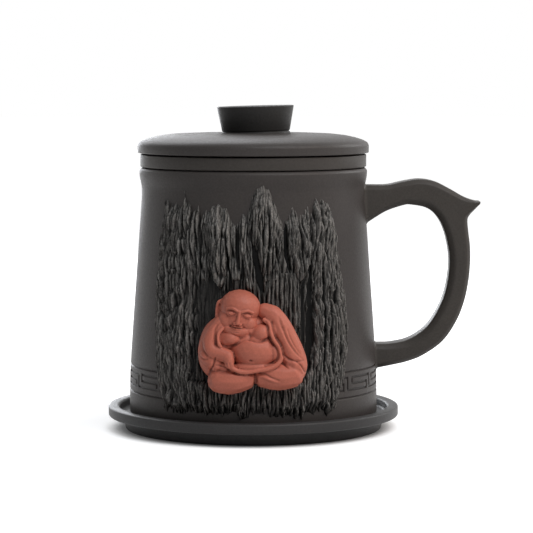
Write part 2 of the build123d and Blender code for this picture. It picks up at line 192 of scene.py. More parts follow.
class NodeBench:
    """Adds and joins the nodes of a material or of the surroundings."""

    def __init__(self, holder: bpy.types.Material | bpy.types.World) -> None:
        """Start with no nodes.

        Args:
            holder: The material or world.
        """
        self.holder = holder
        self.holder.use_nodes = True
        self.tree = self.holder.node_tree
        self.tree.nodes.clear()

    def add(self, kind: str, values: dict | None = None, **settings: object) -> bpy.types.Node:
        """Add a node.

        Args:
            kind: The node's type, without its ShaderNode prefix.
            values: Socket name or number to a value, or to an output to join to it.
            **settings: Properties of the node.

        Returns:
            The new node.
        """
        node = self.tree.nodes.new("ShaderNode" + kind)
        for key, value in settings.items():
            setattr(node, key, value)
        for key, value in (values or {}).items():
            if isinstance(value, bpy.types.NodeSocket):
                self.tree.links.new(value, node.inputs[key])
            else:
                node.inputs[key].default_value = value
        return node

    def mapped(
        self, source: bpy.types.NodeSocket, start: float, end: float, low: float, high: float, **settings: object
    ) -> bpy.types.NodeSocket:
        """Map a span of an output onto low to high.

        Args:
            source: The output.
            start: Its value that gives low.
            end: Its value that gives high.
            low: Result at the start and before it.
            high: Result at the end and past it.
            **settings: Properties of the node.

        Returns:
            The mapped output.
        """
        values = {"Value": source, "From Min": start, "From Max": end, "To Min": low, "To Max": high}
        return self.add("MapRange", values, **settings).outputs[0]

    def grains(
        self, place: bpy.types.NodeSocket, scale: float, detail: float, rough: float = 0.5
    ) -> bpy.types.NodeSocket:
        """Make a noise.

        Args:
            place: Where it is looked up.
            scale: How many grains fit in a metre.
            detail: Layers of finer noise.
            rough: Share that each layer keeps of the one before.

        Returns:
            The noise, from 0 to 1.
        """
        values = {"Vector": place, "Scale": scale, "Detail": detail, "Roughness": rough}
        return self.add("TexNoise", values).outputs[0]

    def scaled(self, source: bpy.types.NodeSocket, low: float, high: float) -> bpy.types.NodeSocket:
        """Map a noise's middle range onto low to high.

        Args:
            source: Output between 0 and 1.
            low: Value for the noise's dark parts.
            high: Value for its light parts.

        Returns:
            The mapped output.
        """
        return self.mapped(source, 0.3, 0.7, low, high)

    def product(self, *sources: bpy.types.NodeSocket) -> bpy.types.NodeSocket:
        """Multiply outputs together.

        Args:
            *sources: The outputs.

        Returns:
            Their product.
        """
        total = sources[0]
        for source in sources[1:]:
            total = self.add("Math", {0: total, 1: source}, operation="MULTIPLY").outputs[0]
        return total


@dataclass(frozen=True)
class Clay:
    """Unglazed clay, burnished smooth or left tooled, with painted shade in its hollows and painted highlights on
    its edges.

    Attributes:
        name: The material's name.
        colour: Linear base colour.
        roughness: Roughness of the burnished surface.
        sheen: Strength of its reflections, 0.5 for a plain glossy surface.
        mottle: Share by which broad clouds change the colour.
        fleck: Share by which fine grain changes the colour.
        grain: Height of the fine grain in mm.
        rings: Height of the faint turning rings in mm.
        worn_and_shaded: Share by which hollows are darker, partly from use and partly as painted shade.
        rubbed_and_highlit: Share by which raised edges are paler, partly from rubbing and partly as painted
            highlight.
        fibre: Height of fine upright tool marks in mm.
        split: Share by which the marks' bottoms are darker, as painted shade.
    """

    name: str
    colour: Colour
    roughness: float = 0.5
    sheen: float = 0.2
    mottle: float = 0.07
    fleck: float = 0.10
    grain: float = 0.02
    rings: float = 0.0
    worn_and_shaded: float = 0.25
    rubbed_and_highlit: float = 0.25
    fibre: float = 0.0
    split: float = 0.0

    def material(self) -> bpy.types.Material:
        """Build the clay's nodes.

        Returns:
            The material.
        """
        bench = NodeBench(bpy.data.materials.new(self.name))
        place = bench.add("TexCoord").outputs["Object"]
        clouds = bench.grains(place, 38.0, 4.0, 0.6)
        flecks = bench.grains(place, 1500.0, 2.0)
        heights = [(bench.grains(place, 2600.0, 3.0), self.grain)]
        # The point values darken hollows, partly from use and partly as painted shade, and pale raised edges,
        # partly from rubbing and partly as painted highlight.
        worn_and_shaded = bench.add("Attribute", attribute_name=SHADE_AND_WEAR).outputs["Fac"]
        tone = bench.product(
            bench.scaled(clouds, 1.0 - self.mottle, 1.0 + self.mottle),
            bench.scaled(flecks, 1.0 - self.fleck, 1.0 + self.fleck),
            bench.mapped(worn_and_shaded, 0.0, 0.5, 1.0 - self.worn_and_shaded, 1.0),
            bench.mapped(worn_and_shaded, 0.5, 1.0, 1.0, 1.0 + self.rubbed_and_highlit),
        )
        if self.rings:
            heights.append((self.turning_rings(bench, place), self.rings))
        if self.fibre:
            upright = bench.add("Mapping", {"Vector": place, "Scale": (1.0, 1.0, 0.2)})
            marks = bench.grains(upright.outputs[0], 1350.0, 3.0, 0.6)
            heights.append((marks, self.fibre))
            # Painted shade in the bottoms of the tool marks.
            tone = bench.product(tone, bench.mapped(marks, 0.36, 0.52, 1.0 - self.split, 1.0))
        colour = bench.add("VectorMath", {0: self.colour, "Scale": tone}, operation="SCALE")
        rough = bench.scaled(flecks, self.roughness + 0.05, self.roughness - 0.05)
        normal: bpy.types.NodeSocket | None = None
        for height, size in heights:
            bump = bench.add("Bump", {"Height": height, "Distance": size * MM, "Strength": 1.0})
            if normal:
                bench.tree.links.new(normal, bump.inputs["Normal"])
            normal = bump.outputs[0]
        values = {"Base Color": colour.outputs[0], "Roughness": rough, "Normal": normal}
        shader = bench.add("BsdfPrincipled", {**values, "Specular IOR Level": self.sheen})
        bench.add("OutputMaterial", {"Surface": shader.outputs[0]})
        return bench.holder

    def turning_rings(self, bench: NodeBench, place: bpy.types.NodeSocket) -> bpy.types.NodeSocket:
        """Faint rings about the mug's axis, as the wheel leaves them.

        Args:
            bench: The material's bench.
            place: Object coordinates.

        Returns:
            The rings' height, from 0 to 1.
        """
        flat = bench.add("VectorMath", {0: place, 1: (1.0, 1.0, 0.0)}, operation="MULTIPLY")
        reach = bench.add("VectorMath", {0: flat.outputs[0]}, operation="LENGTH").outputs["Value"]
        height = bench.add("SeparateXYZ", {0: place}).outputs["Z"]
        ring = bench.add("CombineXYZ", {"X": reach, "Z": height})
        return bench.grains(ring.outputs[0], 650.0, 3.0, 0.6)


@dataclass(frozen=True)
class Clays:
    """Every clay of the set."""

    saucer: Clay = Clay("burnished_saucer_clay", (0.036, 0.035, 0.035), 0.46, rings=0.02)
    mug: Clay = Clay("burnished_mug_clay", (0.042, 0.0365, 0.034), 0.48, rings=0.012)
    handle: Clay = Clay("rubbed_handle_clay", (0.047, 0.0415, 0.0365), 0.46)
    # The rock's clay carries strong painted shade in its hollows and strong painted highlights on its ridges and
    # tool marks; its colour is set lighter than the mug's clay to balance that shade.
    cliff: Clay = Clay(
        "tooled_cliff_clay",
        (0.076, 0.072, 0.067),
        0.42,
        sheen=0.1,
        mottle=0.14,
        fleck=0.3,
        worn_and_shaded=0.97,
        rubbed_and_highlit=1.7,
        fibre=0.26,
        split=0.75,
    )
    # The figure's hollows get painted shade and its raised edges painted highlights.
    monk: Clay = Clay(
        "smooth_red_clay", (0.50, 0.152, 0.102), 0.42, fleck=0.06, grain=0.015, worn_and_shaded=0.7, rubbed_and_highlit=0.35,
    )
    infuser: Clay = Clay("burnished_infuser_clay", (0.041, 0.036, 0.032), 0.48, rings=0.012)
    lid: Clay = Clay("burnished_lid_clay", (0.044, 0.039, 0.0365), 0.45, rings=0.02)
    knob: Clay = Clay("burnished_knob_clay", (0.026, 0.025, 0.024), 0.45, sheen=0.14, rings=0.02)


# ---------------------------------------------------------------- mesh tools


@dataclass(frozen=True)
class Corner:
    """A corner of a turned outline.

    Attributes:
        radius: Distance from the axis in mm.
        height: Height above the table in mm.
        ease: How far the corner is rounded back along its sides in mm.
        steps: Faces round the corner.
    """

    radius: float
    height: float
    ease: float = 0.0
    steps: int = 4


def turned(corners: Sequence[Corner], closed: bool = True, segments: int = 256) -> bmesh.types.BMesh:
    """Turn an outline about the mug's axis.

    Args:
        corners: The outline, in order.
        closed: Whether the last corner joins the first.
        segments: Steps round the full turn.

    Returns:
        The turned form, with its corners rounded.
    """
    form = bmesh.new()
    verts = [form.verts.new((corner.radius * MM, 0.0, corner.height * MM)) for corner in corners]
    pairs = list(zip(verts, verts[1:]))
    if closed and (corners[0].radius or corners[-1].radius):
        pairs.append((verts[-1], verts[0]))
    for pair in pairs:
        form.edges.new(pair)
    for vert, corner in zip(verts, corners):
        if corner.ease:
            bmesh.ops.bevel(
                form,
                geom=[vert],
                offset=corner.ease * MM,
                offset_type="OFFSET",
                segments=corner.steps,
                profile=0.5,
                affect="VERTICES",
                material=-1,
            )
    bmesh.ops.spin(
        form,
        geom=form.verts[:] + form.edges[:],
        cent=(0, 0, 0),
        axis=(0, 0, 1),
        dvec=(0, 0, 0),
        angle=math.tau,
        steps=segments,
        use_merge=True,
    )
    bmesh.ops.remove_doubles(form, verts=form.verts, dist=1e-7)
    bmesh.ops.recalc_face_normals(form, faces=form.faces)
    return form


def lattice(form: bmesh.types.BMesh, across: int, up: int) -> list[tuple[bmesh.types.BMVert, int, int]]:
    """Add a flat grid to a form.

    Args:
        form: The form.
        across: Faces along a row.
        up: Faces along a column.

    Returns:
        The grid's points, each with its column and its row.
    """
    grid = bmesh.ops.create_grid(form, x_segments=across, y_segments=up, size=1.0)["verts"]
    return [(vert, round((vert.co.x + 1.0) / 2.0 * across), round((vert.co.y + 1.0) / 2.0 * up)) for vert in grid]


def paint_wear_and_shade(mesh: bpy.types.Mesh, gain: float, softenings: int = 1) -> None:
    """Store how far each point stands out from its neighbours, which the clay turns into painted shade in hollows
    and painted highlights on edges, mixed with signs of use.

    Args:
        mesh: The mesh, which gets a point attribute: 0 in a hollow, 0.5 on a flat, 1 on an edge.
        gain: How fast the value grows with the bend.
        softenings: Times that the value is averaged with the neighbours' values.
    """
    bends = [0.0] * len(mesh.vertices)
    counts = [0] * len(mesh.vertices)
    places = [vertex.co.copy() for vertex in mesh.vertices]
    normals = [vertex.normal.copy() for vertex in mesh.vertices]
    pairs = [tuple(edge.vertices) for edge in mesh.edges]
    for first, second in pairs:
        step = places[second] - places[first]
        length = step.length or 1.0
        bends[first] += normals[first].dot(step) / length
        bends[second] -= normals[second].dot(step) / length
        counts[first] += 1
        counts[second] += 1
    bends = [bend / max(count, 1) for bend, count in zip(bends, counts)]
    for _ in range(softenings):
        sums = bends[:]
        for first, second in pairs:
            sums[first] += bends[second]
            sums[second] += bends[first]
        bends = [total / (count + 1) for total, count in zip(sums, counts)]
    layer = mesh.attributes.new(SHADE_AND_WEAR, "FLOAT", "POINT")
    layer.data.foreach_set("value", [min(max(0.5 - gain * bend, 0.0), 1.0) for bend in bends])


def shown(form: bmesh.types.BMesh, name: str, crease: float = 35.0, gain: float = 2.0) -> bpy.types.Object:
    """Make an object of a form, smooth but for its creases.

    Args:
        form: The form, which is used up. It may bring its own values of use and painted shade.
        name: The piece's name.
        crease: Least angle in degrees of an edge that stays sharp.
        gain: How strongly bends count as use and painted shade.

    Returns:
        The object, at the origin.
    """
    mesh = bpy.data.meshes.new(name)
    form.to_mesh(mesh)
    form.free()
    mesh.shade_smooth()
    mesh.set_sharp_from_angle(angle=math.radians(crease))
    if SHADE_AND_WEAR not in mesh.attributes:
        # Hollows get painted shade and raised edges painted highlights, mixed with signs of use.
        paint_wear_and_shade(mesh, gain)
    piece = bpy.data.objects.new(name, mesh)
    bpy.context.collection.objects.link(piece)
    return piece


def deliver(piece: bpy.types.Object, clay: bpy.types.Material, body: Body, slot: Slot, *nodes: str) -> None:
    """Dress a piece, hang it on the body that it moves with, and hide the nodes that it stands for.

    Args:
        piece: The finished piece.
        clay: Its material.
        body: The body that it moves with.
        slot: The record's slot for its finish; not used.
        *nodes: The nodes that it stands for.
    """
    piece.data.materials.clear()
    piece.data.materials.append(clay)
    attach(piece, body.value)
    if nodes:
        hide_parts(*nodes)
    LOG.info("%s: %d faces on %s", piece.name, len(piece.data.polygons), body.value)


def flowing(points: Sequence[Sequence[float]], steps: int, closed: bool = False) -> list[list[float]]:
    """Run a smooth path through points of any number of values.

    Args:
        points: The path's points. A repeated point makes a sharp corner.
        steps: Samples from one point to the next.
        closed: Whether the path joins its ends.

    Returns:
        The samples in order. An open path ends with its last point, and a closed one doesn't
        repeat its first.
    """
    count = len(points)
    path: list[list[float]] = []
    for index in range(count if closed else count - 1):
        if closed:
            before, start, end, after = (points[(index + shift) % count] for shift in (-1, 0, 1, 2))
        else:
            start, end = points[index], points[index + 1]
            before = points[max(index - 1, 0)]
            after = points[min(index + 2, count - 1)]
        if list(start) == list(end):
            continue
        for step in range(steps):
            share = step / steps
            path.append(
                [
                    0.5
                    * (
                        2 * b
                        + (c - a) * share
                        + (2 * a - 5 * b + 4 * c - d) * share**2
                        + (3 * b - a - 3 * c + d) * share**3
                    )
                    for a, b, c, d in zip(before, start, end, after)
                ]
            )
    if not closed:
        path.append([float(value) for value in points[-1]])
    return path


# ---------------------------------------------------------------- turned parts


@dataclass
class Saucer:
    """Saucer with a flat raised rim, a shallow well and a foot ring.

    Attributes:
        rim_radius: Radius over the rim.
        rim_width: Width of the rim's flat top.
        underside: Height of the rim's underside.
        foot_radius: Outer radius of the foot ring where it stands.
        foot_flare: How much wider the foot ring is at its top.
        foot_ring: Width of the foot ring.
        recess: Height of the underside within the foot ring.
        recess_draft: How much narrower the recess is at its top.
        well_draft: How much narrower the well is at its floor.
        edge: Rounding of the rim's edges.
    """

    rim_radius: float = 57.1
    rim_width: float = 4.3
    underside: float = 5.1
    foot_radius: float = 50.4
    foot_flare: float = 0.8
    foot_ring: float = 4.5
    recess: float = 2.2
    recess_draft: float = 1.2
    well_draft: float = 0.5
    edge: float = 0.8

    def build(self, clays: Clays) -> None:
        """Turn and dress the saucer.

        Args:
            clays: Every clay of the set.
        """
        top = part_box("saucer")[1].z / MM
        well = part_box("mug_wall")[0].z / MM
        well_radius = self.rim_radius - self.rim_width
        inner = self.foot_radius - self.foot_ring
        form = turned(
            (
                Corner(0.0, self.recess),
                Corner(inner - self.recess_draft, self.recess, 0.8),
                Corner(inner, 0.0, 0.5),
                Corner(self.foot_radius, 0.0, 0.6),
                Corner(self.foot_radius + self.foot_flare, self.underside, 0.5),
                Corner(self.rim_radius, self.underside, self.edge),
                Corner(self.rim_radius, top, self.edge),
                Corner(well_radius, top, self.edge),
                Corner(well_radius - self.well_draft, well, 0.9),
                Corner(0.0, well),
            )
        )
        deliver(shown(form, "turned_saucer"), clays.saucer.material(), Body.SAUCER, Slot.SAUCER, "saucer")


@dataclass
class KeyFret:
    """Impressed key fret that runs round the foot of the wall.

    Distances round the wall are in steps, seven to a unit.

    Attributes:
        units: Units of the pattern round the wall.
        steps: Steps in a unit.
        first_turn: Turn of the first long upright, in degrees to the right of the front.
        line: Half width of an upright line in steps.
        half_line: Half width of a level line in mm.
        depth: Depth of the lines.
        low: Height of the band's lower end.
        high: Height of its upper end.
        shoulder: Height of the slope at both ends, which joins the band to the wall.
        levels: Heights of the level lines.
        hook: Place of the short upright in a unit.
        hairpin: Place of the upright at the turn back.
        long_cuts: Parts in which the long stretch between them is cut.
        taper: Width of a groove's sloping side.
        soft: Rounding of a groove's lip.
    """

    units: int = 19
    steps: float = 7.0
    first_turn: float = 67.2
    line: float = 0.19
    half_line: float = 0.45
    depth: float = 0.5
    low: float = 15.85
    high: float = 25.55
    shoulder: float = 0.35
    levels: tuple[float, float, float] = (18.65, 21.05, 23.45)
    hook: float = 1.2
    hairpin: float = 6.0
    long_cuts: int = 5
    taper: float = 0.14
    soft: float = 0.13

    def columns(self) -> list[float]:
        """Find where the lattice's uprights stand.

        Returns:
            Their places within one unit, in steps.
        """
        marks = [self.line, self.hook - self.line, self.hook + self.line]
        span = self.hairpin - self.hook - 2 * self.line
        marks += [self.hook + self.line + span * cut / self.long_cuts for cut in range(1, self.long_cuts)]
        marks += [self.hairpin - self.line, self.hairpin + self.line]
        return [-self.line, *marks]

    def rows(self) -> list[float]:
        """Heights of the lattice's levels."""
        lines = [level + side * self.half_line for level in self.levels for side in (-1, 1)]
        return [self.low, self.low + self.shoulder, *lines, self.high - self.shoulder, self.high]

    def cut(self, step: float, height: float) -> bool:
        """Whether the pattern's line runs through a place.

        Args:
            step: Distance round the wall from the unit's long upright, in steps.
            height: Height above the table.

        Returns:
            True inside a line.
        """
        low, middle, high = self.levels
        near = [abs(height - level) < self.half_line for level in self.levels]
        spans = (
            (near[0], -self.line, self.hairpin + self.line),
            (near[1], self.hook - self.line, self.hairpin + self.line),
            (near[2], self.hook - self.line, self.steps + self.line),
            (low < height < middle, self.hairpin - self.line, self.hairpin + self.line),
            (middle < height < high, self.hook - self.line, self.hook + self.line),
            (low - self.half_line < height < high + self.half_line, -self.line, self.line),
        )
        return any(here and start < step < end for here, start, end in spans)

    def add_to(self, form: bmesh.types.BMesh) -> list[bmesh.types.BMEdge]:
        """Model the band in a form that holds the rest of the wall.

        Args:
            form: The wall's form.

        Returns:
            The edges of the band's two open ends.
        """
        columns, rows = self.columns(), self.rows()
        across, up = self.units * len(columns), len(rows) - 1
        grid = lattice(form, across, up)
        for vert, column, row in grid:
            unit, index = divmod(column, len(columns))
            vert.co = (unit * self.steps + columns[index], rows[row], 0.0)
        lines = []
        for face in {face for vert, _, _ in grid for face in vert.link_faces}:
            middle = face.calc_center_median()
            if self.cut((middle.x + self.line) % self.steps - self.line, middle.y):
                lines.append(face)
        for vert, _, row in grid:
            turn = math.radians(self.first_turn + vert.co.x * 360.0 / (self.units * self.steps))
            reach = WALL.at(vert.co.y) - (self.depth if row in (0, up) else 0.0)
            vert.co = Vector((reach * math.sin(turn), -reach * math.cos(turn), vert.co.y)) * MM
        bmesh.ops.remove_doubles(form, verts=[vert for vert, _, _ in grid], dist=1e-6)
        lines = [face for face in lines if face.is_valid]
        walls = bmesh.ops.inset_region(
            form, faces=lines, thickness=self.taper * MM, depth=-self.depth * MM, use_even_offset=True
        )["faces"]
        groove = set(walls) | set(lines)
        lips = [
            edge
            for edge in {edge for face in walls for edge in face.edges}
            if len(edge.link_faces) == 2 and sum(face in groove for face in edge.link_faces) == 1
        ]
        bmesh.ops.bevel(
            form,
            geom=lips,
            offset=self.soft * MM,
            offset_type="OFFSET",
            segments=2,
            profile=0.5,
            affect="EDGES",
            material=-1,
        )
        return [edge for edge in form.edges if edge.is_boundary]


@dataclass
class MugWall:
    """Turned wall of the mug with its key fret.

    Attributes:
        fret: The band.
        wall: Thickness of the wall at the foot.
        foot_round: Rounding of the foot's outer edge.
        gap: Height left at each end of the band to join it in.
        border: Height of the step beside that.
        plain: Heights between which the outside keeps to the wall's own stations.
        lip: Outside of the flared rim, from below.
        mouth: Outer and inner radius of the rim's top.
        bore: Inside of the wall, from above.
    """

    fret: KeyFret
    wall: float = 4.0
    foot_round: float = 1.8
    gap: float = 0.1
    border: float = 0.45
    plain: Point = (28.0, 95.0)
    lip: tuple[Corner, ...] = (
        Corner(43.75, 95.4, 1.0),
        Corner(44.65, 99.6, 1.6, 6),
        Corner(44.65, 101.6, 0.7, 5),
    )
    mouth: Point = (43.75, 39.7)
    bore: tuple[Corner, ...] = (Corner(39.7, 92.1, 1.0), Corner(44.45, 25.4, 2.0))

    def build(self, clays: Clays) -> None:
        """Turn the wall round the band, join the band in, and dress both.

        Args:
            clays: Every clay of the set.
        """
        foot, rim = (corner.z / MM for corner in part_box("mug_wall"))
        low, high = self.fret.low - self.gap, self.fret.high + self.gap
        sunk = self.fret.depth
        above, below = high + self.border, low - self.border
        upper = [Corner(WALL.at(high) - sunk, high), Corner(WALL.at(above), above, 0.12, 2)]
        start, end = self.plain
        upper += [Corner(radius, height) for height, radius in WALL.stations if start < height < end]
        upper += [*self.lip, Corner(self.mouth[0], rim, 0.4)]
        bore = [Corner(self.mouth[1], rim, 0.6), *self.bore, Corner(WALL.at(foot) - self.wall, foot, 0.5)]
        lower = [Corner(WALL.at(foot), foot, self.foot_round, 6)]
        lower += [Corner(WALL.at(below), below, 0.12, 2), Corner(WALL.at(low) - sunk, low)]
        form = turned((*upper, *bore, *lower), closed=False, segments=252)
        ends = self.fret.add_to(form)
        middle = (low + high) / 2 * MM
        for side in (-1, 1):
            loops = [edge for edge in ends if (edge.verts[0].co.z - middle) * side > 0]
            bmesh.ops.bridge_loops(form, edges=loops)
        bmesh.ops.recalc_face_normals(form, faces=form.faces)
        deliver(shown(form, "fretted_mug_wall"), clays.mug.material(), Body.MUG, Slot.MUG, "mug_wall")


@dataclass
class Handle:
    """Strap handle with softened edges and a thumb spur.

    Attributes:
        half_width: Half the width of the strap.
        edge_width: Width of its rounded edge.
        seam: How far from the wall the slip spreads it.
        samples: Samples from one point of the outline to the next.
        cuts: Extra cuts across the strap at the wall.
        first_cut: Place of the first of them.
        cut_step: Distance from one to the next.
        profile: Share of the edge taken off, and share of the edge's width, out to the flank.
        outline: Across, height and how much the edge is taken off, all round the strap.
    """

    half_width: float = 6.2
    edge_width: float = 2.1
    seam: float = 0.9
    samples: int = 6
    cuts: int = 14
    first_cut: float = 43.2
    cut_step: float = 0.45
    profile: tuple[Point, ...] = (
        (0.0, 0.0), (0.05, 0.22), (0.16, 0.38), (0.62, 0.88), (0.76, 0.97), (0.92, 1.0), (1.15, 1.0),
    )  # fmt: skip
    outline: Path = (
        (40.6, 95.8, 2.1), (46.0, 95.8, 2.1), (52.4, 95.9, 2.1), (58.7, 97.25, 2.2), (65.0, 98.1, 2.3),
        (71.2, 97.05, 2.2), (77.2, 94.1, 2.0), (82.6, 91.05, 1.6), (86.6, 89.6, 0.8), (88.75, 89.35, 0.06),
        (88.75, 89.35, 0.06), (88.75, 88.75, 0.06), (88.4, 88.1, 0.15), (86.4, 85.9, 0.7), (84.9, 84.3, 1.1),
        (83.9, 82.3, 1.7), (84.2, 77.9, 1.9), (84.95, 71.5, 2.0), (85.0, 65.0, 2.0), (84.4, 58.2, 2.0),
        (82.8, 50.3, 2.0), (79.7, 42.3, 2.0), (74.3, 34.4, 2.0), (66.6, 28.9, 2.0), (60.3, 26.4, 2.0),
        (54.0, 24.95, 2.0), (49.2, 24.0, 2.0), (42.6, 22.7, 2.0), (42.6, 22.7, 2.0), (42.6, 33.4, 2.0),
        (42.6, 33.4, 2.0), (49.2, 33.4, 2.5), (54.0, 33.6, 2.9), (60.3, 35.0, 3.3), (66.0, 38.3, 3.3),
        (70.3, 43.1, 3.3), (74.9, 52.6, 3.3), (76.9, 64.5, 3.3), (75.8, 74.4, 3.3), (72.8, 82.2, 3.3),
        (68.1, 86.7, 3.3), (61.8, 88.1, 2.8), (58.7, 87.9, 2.6), (52.4, 85.8, 2.2), (47.6, 83.0, 2.1),
        (40.6, 78.4, 2.1), (40.6, 78.4, 2.1), (40.6, 95.8, 2.1),
    )  # fmt: skip

    def rings(self) -> list[tuple[float, float]]:
        """Lay out the rings of points from one flank to the other.

        Returns:
            For each ring the share of the edge taken off and its distance from the middle.
        """
        flat = self.half_width - self.edge_width
        half = [(share, flat + out * self.edge_width) for share, out in self.profile]
        return [(share, -out) for share, out in reversed(half)] + half

    def build(self, clays: Clays) -> None:
        """Build the strap ring by ring from one flank to the other, and dress it.

        Args:
            clays: Every clay of the set.
        """
        path = flowing(self.outline, self.samples, closed=True)
        inwards = []
        for index in range(len(path)):
            ahead, behind = path[(index + 1) % len(path)], path[index - 1]
            inwards.append(Vector((ahead[1] - behind[1], 0.0, behind[0] - ahead[0])).normalized())

        def spot(index: int, share: float, out: float) -> Vector:
            """Place in metres of a sample of the outline, taken in by a share of its edge."""
            x, z, edge = path[index]
            return (Vector((x, out, z)) + inwards[index] * edge * share) * MM

        rings = self.rings()
        form = bmesh.new()
        ring = [form.verts.new(spot(index, *rings[0])) for index in range(len(path))]
        edges = [form.edges.new((ring[index - 1], ring[index])) for index in range(len(path))]
        form.faces.new(ring)
        for share, out in rings[1:]:
            grown = bmesh.ops.extrude_edge_only(form, edges=edges)["geom"]
            edges = [item for item in grown if isinstance(item, bmesh.types.BMEdge)]
            fresh = {vert for edge in edges for vert in edge.verts}
            steps = [[edge.other_vert(vert) for edge in vert.link_edges] for vert in ring]
            ring = [next(vert for vert in near if vert in fresh) for near in steps]
            for index, vert in enumerate(ring):
                vert.co = spot(index, share, out)
        form.faces.new(ring)
        for cut in range(self.cuts):
            across = (self.first_cut + self.cut_step * cut) * MM
            geometry = form.verts[:] + form.edges[:] + form.faces[:]
            bmesh.ops.bisect_plane(form, geom=geometry, plane_co=(across, 0, 0), plane_no=(1, 0, 0))
        bmesh.ops.recalc_face_normals(form, faces=form.faces)
        self.lute(form)
        strap = shown(form, "strap_handle", crease=50.0, gain=0.0)
        deliver(strap, clays.handle.material(), Body.MUG, Slot.HANDLE, "mug_handle")

    def lute(self, form: bmesh.types.BMesh) -> None:
        """Spread the strap where it meets the wall, as wet slip does.

        Args:
            form: The strap's form, which is changed.
        """
        form.normal_update()
        for vert in form.verts:
            reach = math.hypot(vert.co.x, vert.co.y) / MM
            away = reach - WALL.at(vert.co.z / MM)
            if away < self.seam:
                near = self.seam - max(away, 0.0)
                spread = self.seam - math.sqrt(max(self.seam**2 - near**2, 0.0))
                out = Vector((0.0, vert.normal.y, vert.normal.z))
                if out.length > 0.1:
                    vert.co += out.normalized() * spread * MM


@dataclass
class Infuser:
    """Infuser that hangs by its collar on the mug's rim.

    Attributes:
        collar_radius: Radius over the collar.
        lip: How far the collar's two soft lips stand in from it.
        wall: Thickness of the tube.
        draw: How much narrower the tube is at its foot.
    """

    collar_radius: float = 44.3
    lip: float = 0.7
    wall: float = 2.6
    draw: float = 2.2

    def build(self, clays: Clays) -> None:
        """Turn and dress the collar and the cup.

        Args:
            clays: Every clay of the set.
        """
        clay = clays.infuser.material()
        low, high = (corner.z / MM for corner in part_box("infuser_collar"))
        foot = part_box("infuser_cup")[0].z / MM
        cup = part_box("infuser_cup")[1].x / MM
        bore = cup - self.wall
        collar = turned(
            (
                Corner(bore, low),
                Corner(self.collar_radius - self.lip, low + 0.25, 0.25, 2),
                Corner(self.collar_radius, low + 0.45, 0.3, 3),
                Corner(self.collar_radius, high - 0.35, 0.3, 3),
                Corner(self.collar_radius - self.lip, high - 0.25, 0.2, 2),
                Corner(bore, high, 0.5),
            )
        )
        deliver(shown(collar, "infuser_rest_ring"), clay, Body.INFUSER, Slot.INFUSER, "infuser_collar")
        tube = turned(
            (
                Corner(cup, low),
                Corner(cup - self.draw, foot, 1.0),
                Corner(bore - self.draw, foot, 0.3),
                Corner(bore, low),
            )
        )
        deliver(shown(tube, "infuser_tube"), clay, Body.INFUSER, Slot.INFUSER, "infuser_cup")


@dataclass
class Lid:
    """Domed lid with a flange below and a dished knob on top.

    Attributes:
        radius: Radius over the lid.
        seat_radius: Outer radius of the underside that rests on the collar.
        rim_top: Height where the rim's upright side ends.
        crown_radius: Radius of the flat under the knob.
        flange_wall: Thickness of the flange.
        ceiling: Height of the hollow above the underside.
        knob_lean: Degrees that the knob leans to the left.
        knob_shift: How far it sits to the right of the axis.
        knob_sink: How far it is pressed in.
        dome: Radius and height over the dome, from its edge.
    """

    radius: float = 45.3
    seat_radius: float = 43.9
    rim_top: float = 111.5
    crown_radius: float = 13.0
    flange_wall: float = 2.6
    ceiling: float = 2.4
    knob_lean: float = 1.5
    knob_shift: float = 1.1
    knob_sink: float = 0.4
    dome: tuple[Point, ...] = (
        (44.65, 112.5), (43.0, 113.4), (40.2, 114.3), (36.5, 115.1), (32.0, 115.62), (26.0, 115.88), (19.0, 116.02),
    )  # fmt: skip

    def build(self, clays: Clays) -> None:
        """Turn and dress the plate, flange and knob.

        Args:
            clays: Every clay of the set.
        """
        clay = clays.lid.material()
        low, high = (corner.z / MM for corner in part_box("lid_plate"))
        flange_low, flange_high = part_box("lid_flange")
        flange = flange_high.x / MM
        bore = flange - self.flange_wall
        plate = turned(
            (
                Corner(0.0, high),
                Corner(0.0, low + self.ceiling),
                Corner(bore - self.ceiling, low + self.ceiling, 0.8),
                Corner(bore, low, 0.3, 2),
                Corner(self.seat_radius, low + 0.25, 0.2, 2),
                Corner(self.radius, low + 0.3, 0.35, 3),
                Corner(self.radius, self.rim_top, 0.5, 5),
                *(Corner(radius, height) for radius, height in self.dome),
                Corner(self.crown_radius, high),
            )
        )
        deliver(shown(plate, "domed_lid"), clay, Body.LID, Slot.LID, "lid_plate")
        ring = turned(
            (
                Corner(bore, low),
                Corner(flange, low),
                Corner(flange, flange_low.z / MM, 0.6),
                Corner(bore, flange_low.z / MM, 0.6),
            )
        )
        deliver(shown(ring, "lid_locating_ring"), clay, Body.LID, Slot.LID, "lid_flange")
        self.build_knob(clays)

    def build_knob(self, clays: Clays) -> None:
        """Turn and dress the knob, and set it a little askew.

        Args:
            clays: Every clay of the set.
        """
        low, high = (corner.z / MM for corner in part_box("lid_knob"))
        knob = turned(
            (
                Corner(0.0, low - 0.5),
                Corner(13.4, low - 0.5),
                Corner(13.35, low + 0.65, 0.25, 3),
                Corner(12.95, low + 0.85, 0.1, 2),
                Corner(12.95, low + 1.1, 0.1, 2),
                Corner(13.3, low + 1.35, 0.2, 3),
                Corner(15.1, high, 0.45, 4),
                Corner(13.7, high, 0.5, 4),
                Corner(11.5, high - 0.75, 1.6, 5),
                Corner(0.0, high - 0.8),
            ),
            segments=144,
        )
        lean = Matrix.Rotation(math.radians(-self.knob_lean), 4, "Y")
        seat = Matrix.Translation(Vector((self.knob_shift, 0.0, -self.knob_sink)) * MM)
        middle = Matrix.Translation((0.0, 0.0, low * MM))
        bmesh.ops.transform(knob, matrix=seat @ middle @ lean @ middle.inverted(), verts=knob.verts)
        deliver(shown(knob, "lid_grip"), clays.knob.material(), Body.LID, Slot.LID, "lid_knob")


